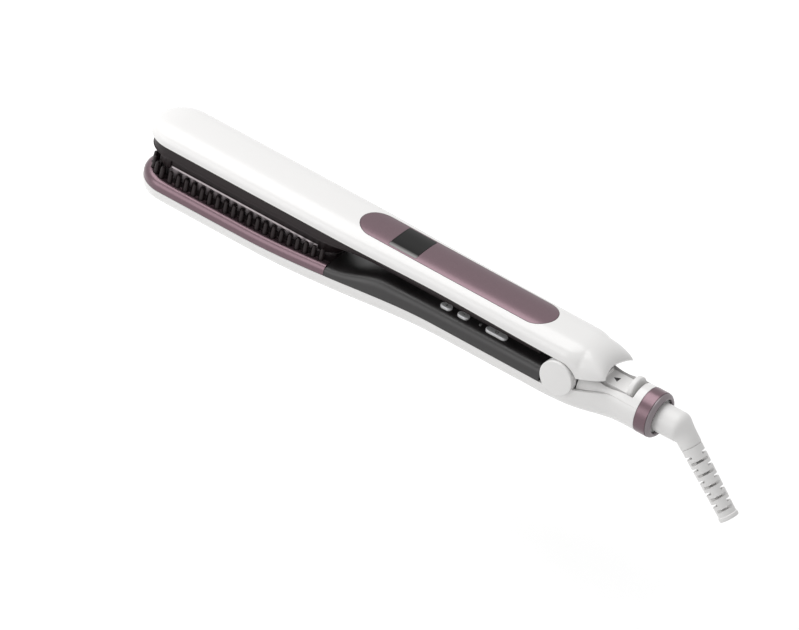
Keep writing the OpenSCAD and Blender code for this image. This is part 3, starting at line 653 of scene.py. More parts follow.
def walled(outer, inner):
    """A closed wall between two skins."""
    bm = bmesh.new()
    a, b = add_skin(bm, outer), add_skin(bm, inner)
    last, m = len(outer[0]) - 1, len(outer) - 1
    for j in range(m):
        bm.faces.new((a[j][0], a[j + 1][0], b[j + 1][0], b[j][0]))
        bm.faces.new((a[j][last], a[j + 1][last], b[j + 1][last], b[j][last]))
    for j in (0, m):
        for i in range(last):
            bm.faces.new((a[j][i], a[j][i + 1], b[j][i + 1], b[j][i]))
    return tidy(bm)


print("walls are", wall, "mm thick")

# %% [markdown]
# ## Pieces
# A finished mesh becomes a piece: it is scaled from millimetres to metres, shaded smooth except at real edges, and
# given its finish. Then it is hung under an empty for the body that carries it, the fixed nodes that it stands for
# are hidden, and its slot picks its finish unless another is named.
# These steps could be written out for each piece, but in one function none of them is forgotten.

# %% Pieces
made = []


def piece(name, bm, body, slot, *nodes, sharp=32, material=None):
    """Turns a mesh in millimetres into a piece that rides on a body and stands for the given nodes."""
    bmesh.ops.scale(bm, vec=(MM, MM, MM), verts=bm.verts)
    mesh = bpy.data.meshes.new(name)
    bm.to_mesh(mesh)
    mesh.shade_smooth()
    mesh.set_sharp_from_angle(angle=math.radians(sharp))
    thing = bpy.data.objects.new(name, mesh)
    scene.collection.objects.link(thing)
    mesh.materials.append(material or finishes[slot])
    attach(thing, body)
    if nodes:
        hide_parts(*nodes)
    made.append(name)
    print(name, "rides on", body, "with", len(mesh.polygons), "faces")


print("slots ready:", len(finishes))

# %% [markdown]
# ## Edges of the upper shell
# Seen from the side, the upper shell's lower edge comes down a little towards the hinge, runs round the cheek as a
# skirt, and rises to the rear end, while its crown domes down behind the hinge. Seen from above, the sides stay
# full and then curve in. The lines could be drawn by hand as curves, but as functions of the length they also
# serve the wall's inner skin.

# %% Edges of the upper shell
CROWN_TOP = 42.3
EDGE_LIFT = 1.2
REAR_LENGTH, REAR_BOW, REAR_HALF = 20.8, 3.2, 11.8
CHEEK_GAP = 0.55
SKIRT_Z = 28.3
rear_x = hinge_x + REAR_LENGTH
cheek_r = cap_r + CHEEK_GAP
skirt_x = math.sqrt(cheek_r ** 2 - (SKIRT_Z - hinge_z) ** 2)


def edge_z(x):
    """The shell's lower edge: it comes down towards the hinge, runs round the cheek, and rises to the rear end."""
    behind = x - hinge_x
    if behind <= 0:
        return mix(shell_z + EDGE_LIFT, shell_z, ease(x, hinge_x - 80, hinge_x - 4))
    if behind <= skirt_x:
        return min(shell_z, hinge_z + math.sqrt(cheek_r ** 2 - behind ** 2))
    return mix(SKIRT_Z, shell_z - 0.2, min(1, (behind - skirt_x) / (REAR_LENGTH - skirt_x)))


def rear_drop(x):
    """One up to 3 mm behind the hinge, and then down as a dome."""
    return max(0.01, 1 - (max(0, x - hinge_x - 3) / (REAR_LENGTH - 2.85)) ** 2.2) ** 0.5


def rear_round(x):
    """One up to the hinge, then down to zero at the rear end, slowly at first, so the outline stays full."""
    return max(0, 1 - (max(0, x - hinge_x) / REAR_LENGTH) ** 2.4) ** 0.7


print("skirt ends", round(skirt_x, 1), "mm behind the hinge")

# %% [markdown]
# ## Upper shell
# The upper arm's cover is one white moulding with a round tip, an almost flat crown with tight shoulders, and a
# domed rear end. It could be a box with a bevel, but the light runs along its shoulders and would show each facet.
# So it is a skin over many squared sections, which stand closest together where the outline turns.

# %% Upper shell
CROWN_E = 2.8
TIP_STEPS, REAR_STEPS = 26, 44
TIP_RISE = 0.55
THIN_AT_REAR = 0.65
crown_angles = arc_angles(26, CROWN_E)
tip_angles = [90 * (i / TIP_STEPS) ** 1.5 for i in range(1, TIP_STEPS + 1)]


def tip_place(a, t):
    """Where a section round the tip stands and half its width, at an angle and drawn in by t."""
    return tip_x - (tip_r - t) * math.cos(math.radians(a)), (tip_r - t) * math.sin(math.radians(a))


def crown_rows(t):
    """The upper shell's sections, drawn in by t: the tip, the straight part, and the rear end."""
    rows = []
    for a in tip_angles:
        s = math.sin(math.radians(a)) ** TIP_RISE
        up = 0 if t and a < 4 else max(0, (CROWN_TOP - edge_z(tip_x) - t) * s)
        rows.append(section(*tip_place(a, t), edge_z(tip_x), up, 0, CROWN_E, crown_angles))
    for x in steps_between(tip_x + 3, hinge_x - cap_r - 2):
        rows.append(section(x, arm_r(x) - t, edge_z(x), CROWN_TOP - edge_z(x) - t, 0, CROWN_E, crown_angles))
    for i in range(REAR_STEPS + 1):
        q = math.sin(math.radians(90 * i / REAR_STEPS))
        thin = t * mix(1, THIN_AT_REAR, ease(mix(hinge_x - cap_r, rear_x, q), hinge_x - 6, hinge_x + 6))
        x = mix(hinge_x - cap_r, rear_x - thin, q)
        half = mix(REAR_HALF, grip_r, rear_round(x))
        top = shell_z + (CROWN_TOP - shell_z) * rear_drop(x)
        up = 0 if t and i == REAR_STEPS else max(0.5, top - edge_z(x) - thin)
        bow = REAR_BOW * ease(x, hinge_x + 2, rear_x)
        rows.append(section(x, half - thin, edge_z(x), up, 0, CROWN_E, crown_angles, bow))
    return rows


crown = walled(crown_rows(0), crown_rows(wall))
print("crown", len(crown.faces), "faces, top at", CROWN_TOP, "mm")

# %% [markdown]
# ## Flat outlines
# Many openings and plates are flat outlines pulled up: a pill with round ends, or a box with round corners. A box
# with a Bevel modifier would do for one of them, but as lists of points all of them can also be stacked and cut.
# An arc of points is the one thing that they share.

# %% Outlines


def prism(outline, z0, z1):
    """A flat outline pulled up from z0 to z1."""
    bm = bmesh.new()
    rows = [[(x, y, z) for x, y in outline] for z in (z0, z1)]
    verts = add_skin(bm, rows, closed=True)
    bm.faces.new(verts[0])
    bm.faces.new(verts[1])
    return tidy(bm)


def arc(x, y, r, start, end, steps):
    """Points of an arc about x, y, from one angle to another in degrees."""
    angles = (math.radians(mix(start, end, i / steps)) for i in range(steps + 1))
    return [(x + r * math.cos(a), y + r * math.sin(a)) for a in angles]


def pill(x0, x1, r, y=0.0, steps=16):
    """A round ended outline from x0 to x1."""
    return arc(x1 - r, y, r, -90, 90, steps) + arc(x0 + r, y, r, 90, 270, steps)


def soft_box(x0, x1, y0, y1, r, steps=6):
    """A rectangle with round corners."""
    corners = ((x1 - r, y1 - r, 0), (x0 + r, y1 - r, 90), (x0 + r, y0 + r, 180), (x1 - r, y0 + r, 270))
    return [point for x, y, start in corners for point in arc(x, y, r, start, start + 90, steps)]


print("a pill has", len(pill(0, 9, 3)), "points and a soft box", len(soft_box(0, 9, 0, 9, 1)))

# %% [markdown]
# ## Cuts
# A boolean cuts one closed mesh with another. The modifier could stay live on the piece, but then the next cut
# would calculate it again, so its result is taken out at once and the helpers are removed. Each cutter reaches
# well past what it cuts, to any round height, because faces that coincide are where booleans go wrong.

# %% Cuts


def carved(base, tool, operation="DIFFERENCE"):
    """An exact boolean of two closed meshes."""
    things = []
    for bm in (base, tool):
        mesh = bpy.data.meshes.new("work")
        bm.to_mesh(mesh)
        thing = bpy.data.objects.new("work", mesh)
        scene.collection.objects.link(thing)
        things.append(thing)
    cut = things[0].modifiers.new("cut", "BOOLEAN")
    cut.operation, cut.solver, cut.object = operation, "EXACT", things[1]
    out = bmesh.new()
    out.from_mesh(things[0].evaluated_get(bpy.context.evaluated_depsgraph_get()).to_mesh())
    for thing in things:
        mesh = thing.data
        bpy.data.objects.remove(thing)
        bpy.data.meshes.remove(mesh)
    return tidy(out)


half_bar = carved(prism(pill(-5, 5, 2), 0, 1), prism(soft_box(0, 6, -3, 3, 1), -1, 2))
print("a bar cut in half ends at", round(max(vert.co.x for vert in half_bar.verts), 2), "mm")

# %% [markdown]
# ## Inlay and window
# The rose inlay and the black window lie flush in the crown with a hairline gap round them. Made by themselves they
# would have to follow the crown's curve exactly. So both are cut out of the same wall: the shell is the wall less
# the inlay's outline, and the inlay is what the wall and that outline have in common.

# %% Inlay and window
INLAY_GAP = 0.26
inlay_low, inlay_high = box_mm("inlay_panel")
window_low, window_high = box_mm("display_window")


def inlay_outline(inset):
    return pill(inlay_low.x + inset, inlay_high.x - inset, inlay_high.y - inset, steps=40)


def window_outline(inset):
    return soft_box(window_low.x + inset, window_high.x - inset, window_low.y + inset, window_high.y - inset,
                    max(0.3, 0.8 - inset))


above, below = CROWN_TOP + 5, shell_z + 1
shell_cut = carved(crown, prism(inlay_outline(-INLAY_GAP), below, above))
inlay_skin = carved(crown, prism(inlay_outline(0), below, above), "INTERSECT")
inlay_cut = carved(inlay_skin, prism(window_outline(-INLAY_GAP / 2), below, above))
window_skin = carved(crown, prism(window_outline(0.04), below, above), "INTERSECT")
piece("upper_cover", shell_cut, "upper_arm", "white_shell", "upper_shell")
piece("rose_inlay", inlay_cut, "upper_arm", "rose_trim", "inlay_panel")
piece("black_window", window_skin, "upper_arm", "display_glass", "display_window")

# %% [markdown]
# ## Lines of the tail
# Behind the hinge the lower arm turns from a deep tray into a round tail. Its half width, its underside, its
# middle, its seam and its top change at their own pace. The top stays low enough that the upper shell's rear end
# clears it with the arms open. That height could be tried out by eye, but here it is worked out from the opening
# angle.

# %% Lines of the tail
TRAY_E = 2.8
RECESS_HALF = 8.2
OPEN_GAP = 0.5
tail_x = box_mm("lower_shell")[1].x
tail_z = joints["cord_swivel"]["pos_m"][2] / MM
tail_r = box_mm("accent_ring")[1].y - 0.5


def tail_half(x):
    """Half the tail's width."""
    return mix(grip_r, tail_r, ease(x, hinge_x + 2, tail_x - 8))


def tail_base(x):
    """The tail's underside."""
    return mix(grip_base, tail_z - tail_r, ease(x, hinge_x + 2, tail_x - 4))


def tail_mid(x):
    """The height where the tail is widest."""
    return mix(grip_seam, tail_z, ease(x, hinge_x - cap_r, hinge_x + cap_r))


def tail_seam(x):
    """The seam between the shell and the tail's cover."""
    return mix(tail_mid(x), tail_z + 5.2, ease(x, hinge_x + 5, hinge_x + 30))


def tail_e(x):
    """The section's exponent, which falls to 2 where the tail is round."""
    return mix(TRAY_E, 2, ease(x, hinge_x + 4, tail_x - 8))


rear_reach = REAR_LENGTH + REAR_BOW * (RECESS_HALF / REAR_HALF) ** 2
open_angle = math.radians(joints["arm_hinge"]["range_deg"][1])
open_z = hinge_z + (shell_z - hinge_z) * math.cos(open_angle) - rear_reach * math.sin(open_angle)
bulge = math.sqrt(1 - (RECESS_HALF / tail_half(hinge_x + rear_reach)) ** 2)
low_top = tail_z + (open_z - OPEN_GAP - tail_z) / bulge


def tail_top(x):
    """The top of the tail."""
    return mix(low_top, tail_z + tail_r, ease(x, hinge_x + 25, tail_x - 6))


print("tail radius", round(tail_r, 1), "axis at z", round(tail_z, 1), "low top", round(low_top, 1))

# %% [markdown]
# ## Sections of the tail
# The tail is split along its seam into the shell below and the cover above. One closed tube could be cut in two,
# but its wall would need a cut that follows the seam. So both use the same rows, over the angles below or above the
# seam, and meet there. The cover is narrower near the hinge, which leaves the shell's upper edge free as a ledge.

# %% Sections of the tail
SHELF = 2.0
FULLER = 1.08


def tail_split(x, t, z):
    """The angle at which the section passes the height z."""
    share = (z - tail_mid(x)) / (tail_top(x) - tail_mid(x) - t)
    return math.degrees(math.asin(min(1, max(0, share)) ** (tail_e(x) / 2)))


def tail_row(x, t, start, end, count=52):
    """A section of the tail between two angles, drawn in by the wall's thickness t."""
    angles = [mix(start, end, i / count) for i in range(count + 1)]
    flat = mix(FULLER, 1, ease(x, hinge_x, tail_x))
    shelf = SHELF * (1 - ease(x, hinge_x + 20, hinge_x + 30)) if start > 0 else 0
    return section(x, tail_half(x) - t - shelf, tail_mid(x), tail_top(x) - tail_mid(x) - t,
                   tail_mid(x) - tail_base(x) - t, tail_e(x), angles, flat=flat)


print("seam angle at the ring", round(tail_split(tail_x, 0, tail_seam(tail_x)), 1), "degrees")

# %% [markdown]
# ## Turned solids
# Round pieces are turned: a profile of radii and distances is carried round an axis, as on a lathe. The Screw
# modifier does the same, but only round an object's own axis, and here the axes point in many directions.

# %% Turned solids


def turned(profile, origin, axis, steps=96):
    """A profile of (radius, distance along the axis) carried round the axis."""
    bm = bmesh.new()
    axis = Vector(axis).normalized()
    side = axis.orthogonal().normalized()
    third = axis.cross(side)
    rows = []
    for r, h in profile:
        rows.append([Vector(origin) + axis * h
                     + (side * math.cos(a) + third * math.sin(a)) * max(r, 1e-5)
                     for a in (math.tau * i / steps for i in range(steps))])
    add_skin(bm, rows, closed=True)
    return tidy(bm)


def peg(r, height, origin, axis=(0, 0, 1), steps=96):
    """A plain turned peg, mostly to cut a hole."""
    return turned([(0, 0), (r, 0), (r, height), (0, height)], origin, axis, steps)


print("a turned peg has", len(peg(1, 1, (0, 0, 0)).faces), "faces")

# %% [markdown]
# ## Lower shell
# The lower shell is the whole underside, from the round tip to the coloured ring, in one white moulding. Its
# sections begin as trays under the brush and grow over the middle of the tail. At each side of the hinge it has a
# round cheek that carries the pin. The cheeks could be bulges of the sections, but those stand too far apart for a
# round edge. So each cheek is a disc, and a boolean joins it to the wall, with no gap between them.

# %% Lower shell
TAIL_MORE = 2.3
CHEEK_T = 2.9
tail_end = tail_x + TAIL_MORE
tray_angles = [a - 180 for a in arc_angles(26, TRAY_E)]


def lower_rows(t):
    """The lower shell's sections, drawn in by t: the tip, the straight part, and the tail."""
    rows = []
    for a in tip_angles:
        s = math.sin(math.radians(a)) ** TIP_RISE
        down = 0 if t and a < 4 else max(0, (first_rim_z - t) * s)
        rows.append(section(*tip_place(a, t), first_rim_z, 0, down, TRAY_E, tray_angles, flat=FULLER))
    for x in steps_between(tip_x + 3, hinge_x - cap_r - 2):
        rows.append(section(x, arm_r(x) - t, seam_z(x), 0, seam_z(x) - base_z(x) - t, TRAY_E, tray_angles,
                            flat=FULLER))
    for x in steps_between(hinge_x - cap_r, tail_end, 1.2):
        s = tail_split(x, t, tail_seam(x))
        rows.append(tail_row(x, t, -180 - s, s))
    return rows


def hinge_disc(y0, y1, r):
    """A disc about the hinge's axis from y0 to y1."""
    return peg(r, y1 - y0, (hinge_x, y0, hinge_z), (0, 1, 0))


lower = walled(lower_rows(0), lower_rows(wall))
for y0, y1 in ((-grip_r + seam, -grip_r + CHEEK_T), (grip_r - CHEEK_T, grip_r - seam)):
    lower = carved(lower, hinge_disc(y0, y1, cap_r), "UNION")
piece("lower_cover", lower, "lower_arm", "white_shell", "lower_shell")

# %% [markdown]
# ## Tail cover
# The cover is a thin arch over the tail with a flat bottomed recess, in which the lock slides. A pocket could be
# modelled face by face. It is simpler to cut the arch right through and close it again by a deck with a slot and
# a wall at the recess's end. The three solids overlap, so they read as one moulding.

# %% Tail cover
RECESS_Z, RECESS_DEEP, DECK_T = 25.4, 1.4, 0.9
SLOT_FROM, SLOT_TO, SLOT_HALF = 5.2, 16.3, 2.1
COVER_GAP, RECESS_MORE = 0.6, 1.9
lock_low, lock_high = box_mm("lock_slider")
cover_x0 = hinge_x + cap_r + COVER_GAP
recess_x1 = lock_high.x + RECESS_MORE


def cover_rows(t):
    """The sections of the cover over the tail's seam."""
    rows = []
    for x in steps_between(cover_x0, tail_end, 1.0):
        s = tail_split(x, t, tail_seam(x) + seam)
        rows.append(tail_row(x, t, s, 180 - s, 60))
    return rows


def joined(*parts):
    """Several meshes as one, without a boolean."""
    out = bmesh.new()
    for part in parts:
        mesh = bpy.data.meshes.new("part")
        part.to_mesh(mesh)
        out.from_mesh(mesh)
        bpy.data.meshes.remove(mesh)
    return out


cover = walled(cover_rows(0), cover_rows(wall))
recess = soft_box(hinge_x, recess_x1, -RECESS_HALF, RECESS_HALF, 0.6)
cover = carved(cover, prism(recess, RECESS_Z - RECESS_DEEP, 40))
deck_at = soft_box(cover_x0, recess_x1 + 0.4, -RECESS_HALF - 0.1, RECESS_HALF + 0.1, 0.6)
deck = prism(deck_at, RECESS_Z - DECK_T, RECESS_Z)
slot = soft_box(lock_low.x + SLOT_FROM, lock_low.x + SLOT_TO, -SLOT_HALF, SLOT_HALF, 0.6)
deck = carved(deck, prism(slot, 20, 30))
end_wall = carved(peg(tail_r - wall + 0.1, 0.8, (recess_x1, 0, tail_z), (1, 0, 0)),
                  prism(soft_box(recess_x1 - 1, recess_x1 + 2, -12, 12, 0.2), 10, RECESS_Z - DECK_T))
piece("tail_arch", joined(cover, deck, end_wall), "lower_arm", "white_shell", "tail_cover")

# %% [markdown]
# ## Places of the teeth
# The comb has two rows of teeth, straight along both sides and then round the tip. The inner row stands in the
# gaps of the outer one. An array along a curve would space both alike, while here each row needs its own start, so
# the places are worked out from the pitch and from equal angles round the tip.

# %% Places of the teeth
TOOTH_R, TOOTH_PITCH, OUTER_ROW, INNER_ROW = 1.25, 4.7, 12.7, 9.6
FIRST_TOOTH = brush_x - 4.9


def row_places(row, first, count, start, steps):
    """Places of the teeth of one row: straight along both sides, and then round the tip."""
    straight = [(first - i * TOOTH_PITCH, side * row) for side in (-1, 1) for i in range(count)]
    return straight + arc(tip_x, 0, row, start, 360 - start, steps)


outer_places = row_places(OUTER_ROW, FIRST_TOOTH, 20, 100, 8)
inner_places = row_places(INNER_ROW, FIRST_TOOTH - TOOTH_PITCH / 2, 19, 110, 5)
print("outer teeth", len(outer_places), "inner teeth", len(inner_places))

# %% [markdown]
# ## Rim
# The rose rim is a band with a rounded lip round the bed of teeth, notched where the outer teeth stand. Its section
# is carried along both sides and round the tip, and its height follows the bend of the arm, which a plain extrusion
# could not do.

# %% Rim
RIM_LIP, RIM_T, RIM_ROUND = 4.9, 1.6, 3.6
NOTCH_GAP = 0.3
RIM_BEND = 60


def rim_section():
    """Points of (distance from the middle line, height over the rim's face)."""
    low_edge = first_rim_z + seam - rim_top
    lip = tip_r - RIM_LIP
    outer = arc(tip_r - RIM_ROUND, -RIM_ROUND, RIM_ROUND, 90, 0, 10)
    edge = [(lip, -0.25), (lip + 0.08, -0.07), (lip + 0.25, 0)]
    return [(lip, -RIM_T)] + edge + outer + [
        (tip_r, low_edge + 0.2), (tip_r - 0.2, low_edge), (tip_r - wall, low_edge), (tip_r - wall, -RIM_T - 1),
        (tip_r - wall - 1, -RIM_T)]


def rim_stations():
    """Places and directions round the bed: the near side, the tip, and the far side."""
    straight = steps_between(tip_x, brush_x - seam, 2.5)
    near = [(x, -90) for x in reversed(straight)]
    bend = [(tip_x, -90 - 180 * i / RIM_BEND) for i in range(1, RIM_BEND)]
    return near + bend + [(x, -270) for x in straight]


rim = bmesh.new()
rim_rows = [[(x + q * math.cos(math.radians(a)), q * math.sin(math.radians(a)), rim_height(x) + h)
             for q, h in rim_section()] for x, a in rim_stations()]
ends = add_skin(rim, rim_rows, closed=True)
rim.faces.new(ends[0])
rim.faces.new(ends[-1])
notches = [peg(TOOTH_R + NOTCH_GAP, 14, (x, y, rim_top - 3.5), steps=24) for x, y in outer_places]
rim_cut = carved(tidy(rim), joined(*notches))
piece("rose_rim", rim_cut, "lower_arm", "rose_trim", "rim_cover")

# %% [markdown]
# ## Teeth
# The teeth taper a little and end in a round top, so that they don't scratch. A cylinder with a bevel would come
# close. A turned profile gives the taper and the dome in one go. The outer teeth are longer, and they rise with
# the rim, while the inner ones end under the upper plate.

# %% Teeth
TOOTH_UP, INNER_TOP = 6.3, 18.3
FOOT_DEPTH, TAPER, INNER_THIN = 2.0, 0.85, 0.85


def tooth(x, y, r, top):
    tip = r * TAPER
    foot = rim_height(x) - FOOT_DEPTH
    height = top - foot
    cap = arc(0, height - tip, tip, 0, 90, 6)
    return turned([(0, 0), (r, 0), (r * 0.98, height * 0.5)] + cap, (x, y, foot), (0, 0, 1), 20)


teeth = [tooth(x, y, TOOTH_R, rim_height(x) + TOOTH_UP) for x, y in outer_places]
teeth += [tooth(x, y, INNER_THIN * TOOTH_R, INNER_TOP) for x, y in inner_places]
print("teeth", len(teeth))

# %% [markdown]
# ## Bed of the comb
# The bed joins the teeth into one dark moulding, and the lower plate lies in its opening. Its outline follows the
# rim's inner edge, and its top follows the rim's height. It is drawn as one flat face, pulled down, and cut open
# for the plate. The teeth are only set into it, because a union of ninety solids would be slow and no better.

# %% Comb
PLATE_X0, PLATE_X1, PLATE_HALF = -47.5, 56.8, 8.2
ROOM = 0.2
BED_DROP, BED_FLOOR = 0.5, 3.2


def bed_outline():
    """The bed's outline: a round nose, and a square end with soft corners."""
    r = tip_r - RIM_LIP - seam
    end = brush_x - seam
    corners = arc(end - 1, 1 - r, 1, -90, 0, 8) + arc(end - 1, r - 1, 1, 0, 90, 8)
    return arc(tip_x, 0, r, 90, 270, 48) + corners


bed = bmesh.new()
face = bed.faces.new([bed.verts.new((x, y, rim_height(x) - BED_DROP)) for x, y in bed_outline()])
pulled = bmesh.ops.extrude_face_region(bed, geom=[face])["geom"]
for vert in (g for g in pulled if isinstance(g, bmesh.types.BMVert)):
    vert.co.z = rim_top - BED_FLOOR
bmesh.ops.triangulate(bed, faces=bed.faces)
bed = carved(tidy(bed), prism(pill(PLATE_X0 - ROOM, PLATE_X1 + ROOM, PLATE_HALF + ROOM, steps=32), 5, 30))
piece("comb", joined(bed, *teeth), "lower_arm", "brush_plastic", "brush_frame", sharp=40)

# %% [markdown]
# ## Stacked solids
# Plates with soft edges are stacks: the same outline at rising heights, drawn in where the edge rounds off. A Bevel
# modifier could round them too, but a stack says exactly how far each edge draws in, and it never crosses itself.

# %% Stacks


def stack(outline_at, levels):
    """A closed solid over outlines at levels of (inset, height)."""
    bm = bmesh.new()
    verts = add_skin(bm, [[(x, y, z) for x, y in outline_at(inset)] for inset, z in levels], closed=True)
    bm.faces.new(verts[0])
    bm.faces.new(verts[-1])
    return tidy(bm)


def soft_slab(outline_at, z0, z1, edge, steps=5):
    """A slab with a rounded upper edge."""
    return stack(outline_at, [(0, z0)] + arc(edge, z1 - edge, edge, 180, 90, steps))


def bar_outline(x0, x1, half):
    """The outline of a plate with round ends, at any inset."""
    return lambda inset: pill(x0 + inset, x1 - inset, half - inset, steps=32)


print("a plate's outline has", len(bar_outline(0, 50, 8)(0)), "points")

# %% [markdown]
# ## Heated plates
# Both plates are ground and coated aluminium with round ends. The lower one lies deep between the teeth. The upper
# one stands proud of its carrier, and the slope of its edge looks up at the light: from the side it is a thin
# bright line. A bump could only shade that slope and not move the outline, so the slope is part of the stack.

# %% Heated plates
UPPER_X0, UPPER_X1, UPPER_HALF = -48.5, 54.0, 9.4
PLATE_EDGE, PLATE_FOOT = 0.8, 4.5
lower_plate_z = box_mm("lower_plate")[1].z
upper_plate_z = box_mm("upper_plate")[0].z
piece("lower_hot_plate", soft_slab(bar_outline(PLATE_X0, PLATE_X1, PLATE_HALF), rim_top - PLATE_FOOT, lower_plate_z,
                                   PLATE_EDGE), "lower_arm", "plate_metal", "lower_plate")
ledge = [(0.5, 0), (0.12, 0.12), (0, 0.4), (0.1, 0.62), (0.34, 1.05), (1.2, 1.2), (1.2, 2.4)]
piece("upper_hot_plate", stack(bar_outline(UPPER_X0, UPPER_X1, UPPER_HALF),
                               [(inset, upper_plate_z + up) for inset, up in ledge]),
      "upper_arm", "plate_metal", "upper_plate")

# %% [markdown]
# ## Floating carrier
# The upper plate floats in a dark carrier with a thin ridge along its sides. Both ends have a round cap that keeps
# hair off the plate's ends. The caps are one block with the plate's room and the whole middle cut away, which
# leaves two ends that are alike.

# %% Carrier
CAP_X0, CAP_X1, CAP_HALF = -50.4, 58.0, 10.2
CAP_REACH = 10.5
RIDGE = 5.0
carrier_top = box_mm("plate_carrier")[1].z
ridge_z = upper_plate_z + RIDGE
carrier_sides = [(1.2, upper_plate_z + 1.2), (0.9, upper_plate_z + 1.5), (0.9, ridge_z), (1.0, ridge_z + 0.2),
                 (1.3, ridge_z + 0.3), (2.2, ridge_z + 0.35), (2.2, carrier_top)]
carrier = stack(bar_outline(CAP_X0 + 0.4, CAP_X1 - 0.4, CAP_HALF), carrier_sides)
cap_levels = [(1.0, -0.55), (0.5, -0.45), (0.15, -0.2), (0, 0.15), (0, 9.4)]
cap_block = stack(bar_outline(CAP_X0, CAP_X1, CAP_HALF), [(inset, upper_plate_z + up) for inset, up in cap_levels])
between = prism(soft_box(CAP_X0 + CAP_REACH, CAP_X1 - CAP_REACH, -20, 20, 0.2), 0, 60)
plate_room = prism(pill(UPPER_X0 - ROOM, UPPER_X1 + ROOM, UPPER_HALF + ROOM, steps=32), 0, upper_plate_z + 2.5)
caps = carved(carved(cap_block, between), plate_room)
piece("floating_carrier", joined(carrier, caps), "upper_arm", "black_housing", "plate_carrier", material=brown)

# %% [markdown]
# ## Inner housing of the grip
# The inner face of the lower grip is an arch of satin black plastic that closes the shell. It could be a plain
# plate, but its broad shoulders carry the long grey reflection of the near side. So it is a walled skin like the
# shells, closed at the brush, and cut away round the hinge.

# %% Grip housing
HOUSING_E = 4.0
housing_angles = arc_angles(22, HOUSING_E)


def housing_rows(t):
    """The housing's sections, drawn in by t. The inner skin begins closed and one wall later."""
    rows = []
    for i, x in enumerate(steps_between(brush_x + seam, hinge_x - 1, 2.5)):
        shut = t and i == 0
        at = x + (t if shut else 0)
        up = 0 if shut else inner_z(at) - seam_z(at) - seam - t
        rows.append(section(at, arm_r(at) - t, seam_z(at) + seam, up, 0, HOUSING_E, housing_angles))
    return rows


housing = walled(housing_rows(0), housing_rows(wall))
housing = carved(housing, hinge_disc(-grip_r - 1, grip_r + 1, cap_r + 0.8))
hinge_room = soft_box(hinge_x - 9.5, hinge_x + 10, -grip_r - 1, grip_r + 1, 0.3)
housing = carved(housing, prism(hinge_room, grip_seam - 2, 30))
print("grip housing", len(housing.faces), "faces before its holes")

# %% [markdown]
# ## Holes of the housing
# Three keys, a small light, the opening spring and two screws come through the housing. Dark discs could stand for
# the holes, but with the arms open the light falls into them, so they are real cuts.

# %% Holes of the housing
KEY_GAP = 0.2
SPRING_HOLE, LIGHT_HOLE, SCREW_HOLE = 4.2, 0.75, 2.3
HOLE_H = 9
spring_x = hinge_x - 27
screw_places = (brush_x + 36, hinge_x - 15)
key_box = {key: box_mm(key + "_button") for key in ("plus", "minus", "power")}
led_low, led_high = box_mm("power_led")


def key_outline(key, grow):
    """A key's outline, grown all round."""
    low, high = key_box[key]
    return pill(low.x - grow, high.x + grow, (high.y - low.y) / 2 + grow, (low.y + high.y) / 2)


for key in key_box:
    housing = carved(housing, prism(key_outline(key, KEY_GAP), grip_top - 3, 30))
housing = carved(housing, peg(SPRING_HOLE, HOLE_H, (spring_x, 0, grip_top - 4)))
led = ((led_low.x + led_high.x) / 2, (led_low.y + led_high.y) / 2, grip_top - 3)
housing = carved(housing, peg(LIGHT_HOLE, HOLE_H, led, steps=32))
for x in screw_places:
    housing = carved(housing, peg(SCREW_HOLE, HOLE_H, (x, 0, grip_top - 1.7), steps=48))
piece("grip_inner_housing", housing, "lower_arm", "black_housing", "lower_housing")

# %% [markdown]
# ## Tray of the upper arm
# A dark tray closes the upper arm, and only a band of it shows under the white shell. It is a stack with a small
# lip. Beside the grip it lies higher, which opens the view on the keys. That change is made by lifting the stack's
# points, the lower ones most, so the tray keeps its seat in the shell.

# %% Upper tray
TRAY_HALF = tip_r - wall - 0.2
TRAY_Z, TRAY_T, GRIP_LIFT = 27.5, 1.5, 2.0
tray_end = box_mm("upper_housing")[1].x
tray_top = shell_z + 1.4


def tray_outline(inset):
    """The tray's outline: a round tip, and sides that draw in towards the hinge."""
    near = [(x, mix(TRAY_HALF, grip_r - 3, ease(x, brush_x, brush_x + 26)) - inset)
            for x in steps_between(tip_x, tray_end - inset)]
    nose = arc(tip_x, 0, TRAY_HALF - inset, 90, 270, 60)[1:-1]
    return [(x, -half) for x, half in near] + [(x, half) for x, half in reversed(near)] + nose


tray_levels = [(1.2, TRAY_Z), (0.2, TRAY_Z + 0.05), (-0.05, TRAY_Z + 0.2), (-0.05, TRAY_Z + 0.45),
               (0.3, TRAY_Z + 0.9), (0.3, tray_top), (TRAY_T, tray_top), (TRAY_T, TRAY_Z + TRAY_T)]
tray = stack(tray_outline, tray_levels)
for vert in tray.verts:
    share = (tray_top - vert.co.z) / (tray_top - TRAY_Z)
    vert.co.z += GRIP_LIFT * share * ease(vert.co.x, brush_x - 8, brush_x + 12)
piece("upper_inner_housing", tray, "upper_arm", "black_housing", "upper_housing", material=brown)

# %% [markdown]
# ## Signs of the keys
# The keys carry a printed plus, minus and power sign. Print could be drawn in the material, but it would need a
# picture or many nodes. Thin dark pads, let into the key's top, keep crisp edges at any distance.

# %% Signs
SIGN_UP, SIGN_SUNK = 0.04, 0.15
SIGN_HALF, BAR_HALF = 0.8, 0.13


def sign_bar(x0, x1, y0, y1, z):
    """A thin bar let into a key's top at the height z."""
    return prism(soft_box(x0, x1, y0, y1, 0.08, 3), z - SIGN_SUNK, z + SIGN_UP)


